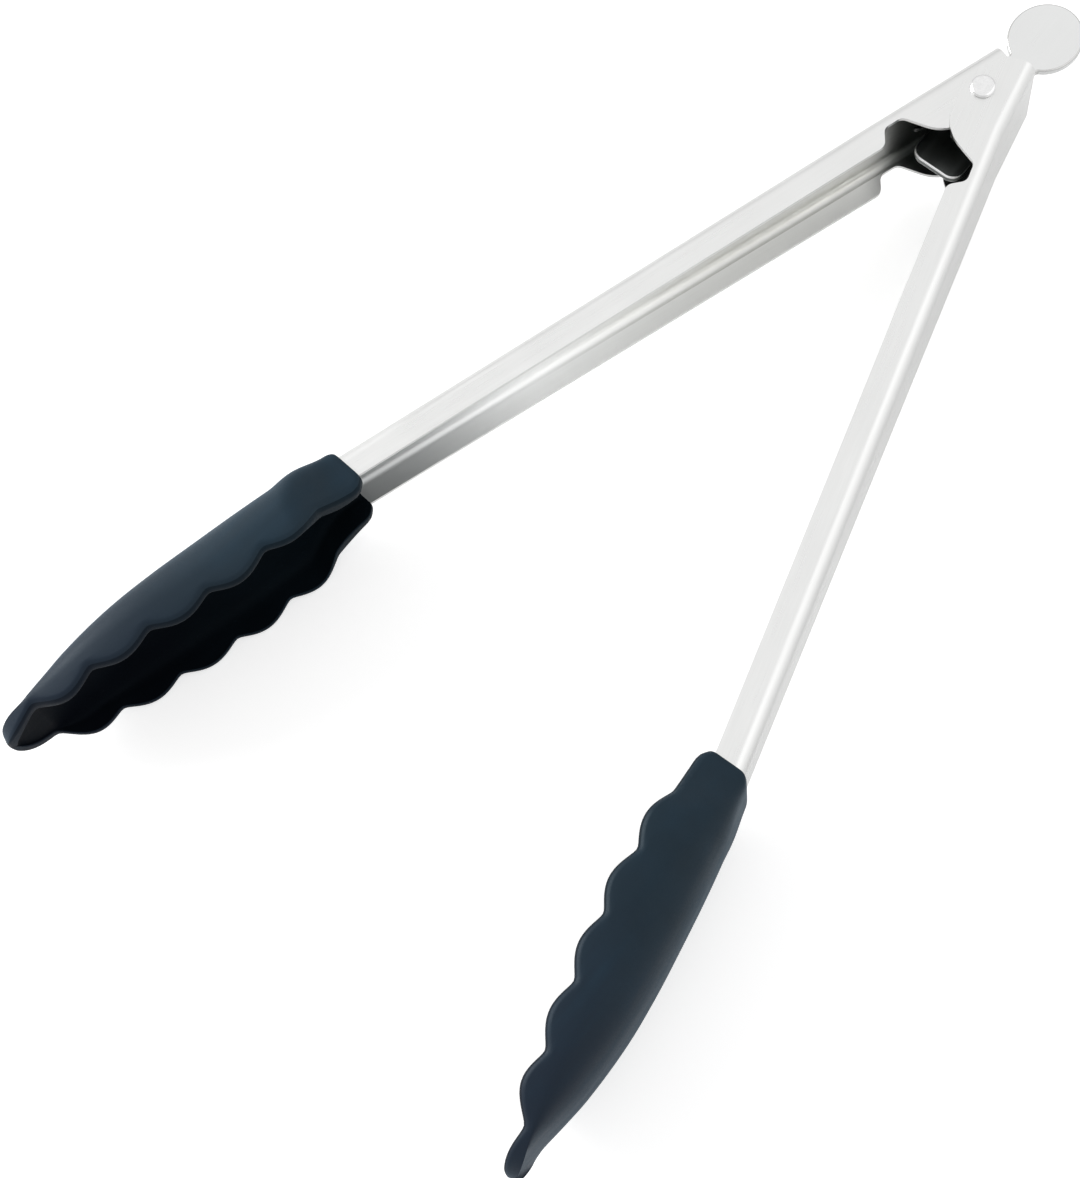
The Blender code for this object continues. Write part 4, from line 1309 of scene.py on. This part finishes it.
class TONGS_OT_pivot(bpy.types.Operator):
    """Turn the rivet and its spacer."""

    bl_idname = "tongs.pivot"
    bl_label = "Turn Rivet and Spacer"

    def execute(self, context):
        arms, sizes = context.scene.tongs_arms, context.scene.tongs_hinge
        steel = turned_steel("turned_steel", context.scene.tongs_finish.bright_steel, 0.17)
        rivet = build_rivet(sizes, arms.hinge_width / 2.0, steel)
        place(rivet, "pivot", ("pivot_rivet",))
        spacer = build_spacer(sizes, inner_width(arms), arms.sheet, steel)
        place(spacer, "pivot", ("spacer_sleeve",))
        return {"FINISHED"}


class TONGS_OT_spring(bpy.types.Operator):
    """Wind the return spring round the rivet."""

    bl_idname = "tongs.spring"
    bl_label = "Wind Spring"

    def execute(self, context):
        arms, sizes = context.scene.tongs_arms, context.scene.tongs_hinge
        finish = context.scene.tongs_finish
        steel = brushed_steel(
            "drawn_wire", finish.spring_steel, 0.3, finish.brushing, grain=(1500.0, 1500.0, 5000.0))
        build_spring(sizes, inner_width(arms), arms.sheet, steel)
        return {"FINISHED"}


class TONGS_OT_lock_plate(bpy.types.Operator):
    """Stamp the lock plate with its pull tab and slot."""

    bl_idname = "tongs.lock_plate"
    bl_label = "Stamp Lock Plate"

    def execute(self, context):
        sizes, finish = context.scene.tongs_hinge, context.scene.tongs_finish
        brushing = finish.brushing / 3.0
        # Painted shade: the plate turns near-black where it lies inside the hinge
        hinge_shade = (finish.hinge_shade_steel, -4.0 * MM, -8.0 * MM)
        # Painted highlight: a bright crescent along the foot's end edge
        foot_highlight = (finish.bright_steel, -15.5 * MM, -17.5 * MM)
        face = brushed_steel(
            "plate_steel", finish.plate_steel, 0.33, brushing, dark=0.985, painted_light=(hinge_shade,))
        # The plate's edges: cut steel, darker as painted shade along its edge band
        edge = brushed_steel(
            "plate_edge_steel", finish.cut_and_shaded_steel, 0.28, brushing, painted_light=(hinge_shade, foot_highlight))
        plate = build_lock_plate(sizes, (face, edge))
        place(plate, "lock", ("lock_plate",))
        return {"FINISHED"}


class TONGS_OT_stage(bpy.types.Operator):
    """Lay the floor, hang the lamps and set the camera."""

    bl_idname = "tongs.stage"
    bl_label = "Set Stage"

    def execute(self, context):
        settings = context.scene.tongs_stage
        build_floor(settings)
        build_backdrop(settings)
        build_lamp("key_lamp", settings.key, 1.0, (-0.85, -0.35, 0.36))
        build_lamp("fill_lamp", settings.fill, 2.2, (0.8, 0.45, 0.36))
        build_camera()
        context.scene.view_settings.view_transform = "Standard"
        return {"FINISHED"}


STEPS = (
    TONGS_OT_arms, TONGS_OT_heads, TONGS_OT_cores, TONGS_OT_pivot, TONGS_OT_spring,
    TONGS_OT_lock_plate, TONGS_OT_stage,
)
GROUPS = (
    ("tongs_arms", TongsArmSizes), ("tongs_heads", TongsHeadSizes),
    ("tongs_hinge", TongsHingeSizes), ("tongs_finish", TongsFinish), ("tongs_stage", TongsStage),
)


class VIEW3D_PT_tongs(bpy.types.Panel):
    """Sizes, colours and steps of the tongs."""

    bl_label = "Locking Tongs"
    bl_space_type = "VIEW_3D"
    bl_region_type = "UI"
    bl_category = "Tongs"

    def draw(self, context):
        layout = self.layout
        for step in STEPS:
            layout.operator(step.bl_idname)
        for group, kind in GROUPS:
            box = layout.box()
            box.label(text=kind.__doc__)
            for field in kind.__annotations__:
                box.prop(getattr(context.scene, group), field)


def register():
    """Register the classes and hang their settings on the scene."""
    for group, kind in GROUPS:
        bpy.utils.register_class(kind)
        setattr(bpy.types.Scene, group, PointerProperty(type=kind))
    for step in STEPS:
        bpy.utils.register_class(step)
    bpy.utils.register_class(VIEW3D_PT_tongs)


def unregister():
    """Take the classes and settings away again."""
    bpy.utils.unregister_class(VIEW3D_PT_tongs)
    for step in reversed(STEPS):
        bpy.utils.unregister_class(step)
    for group, kind in reversed(GROUPS):
        delattr(bpy.types.Scene, group)
        bpy.utils.unregister_class(kind)


def main():
    """Build every piece and the stage."""
    register()
    bpy.ops.tongs.arms()
    bpy.ops.tongs.heads()
    bpy.ops.tongs.cores()
    bpy.ops.tongs.pivot()
    bpy.ops.tongs.spring()
    bpy.ops.tongs.lock_plate()
    bpy.ops.tongs.stage()


if __name__ == "__main__":
    main()
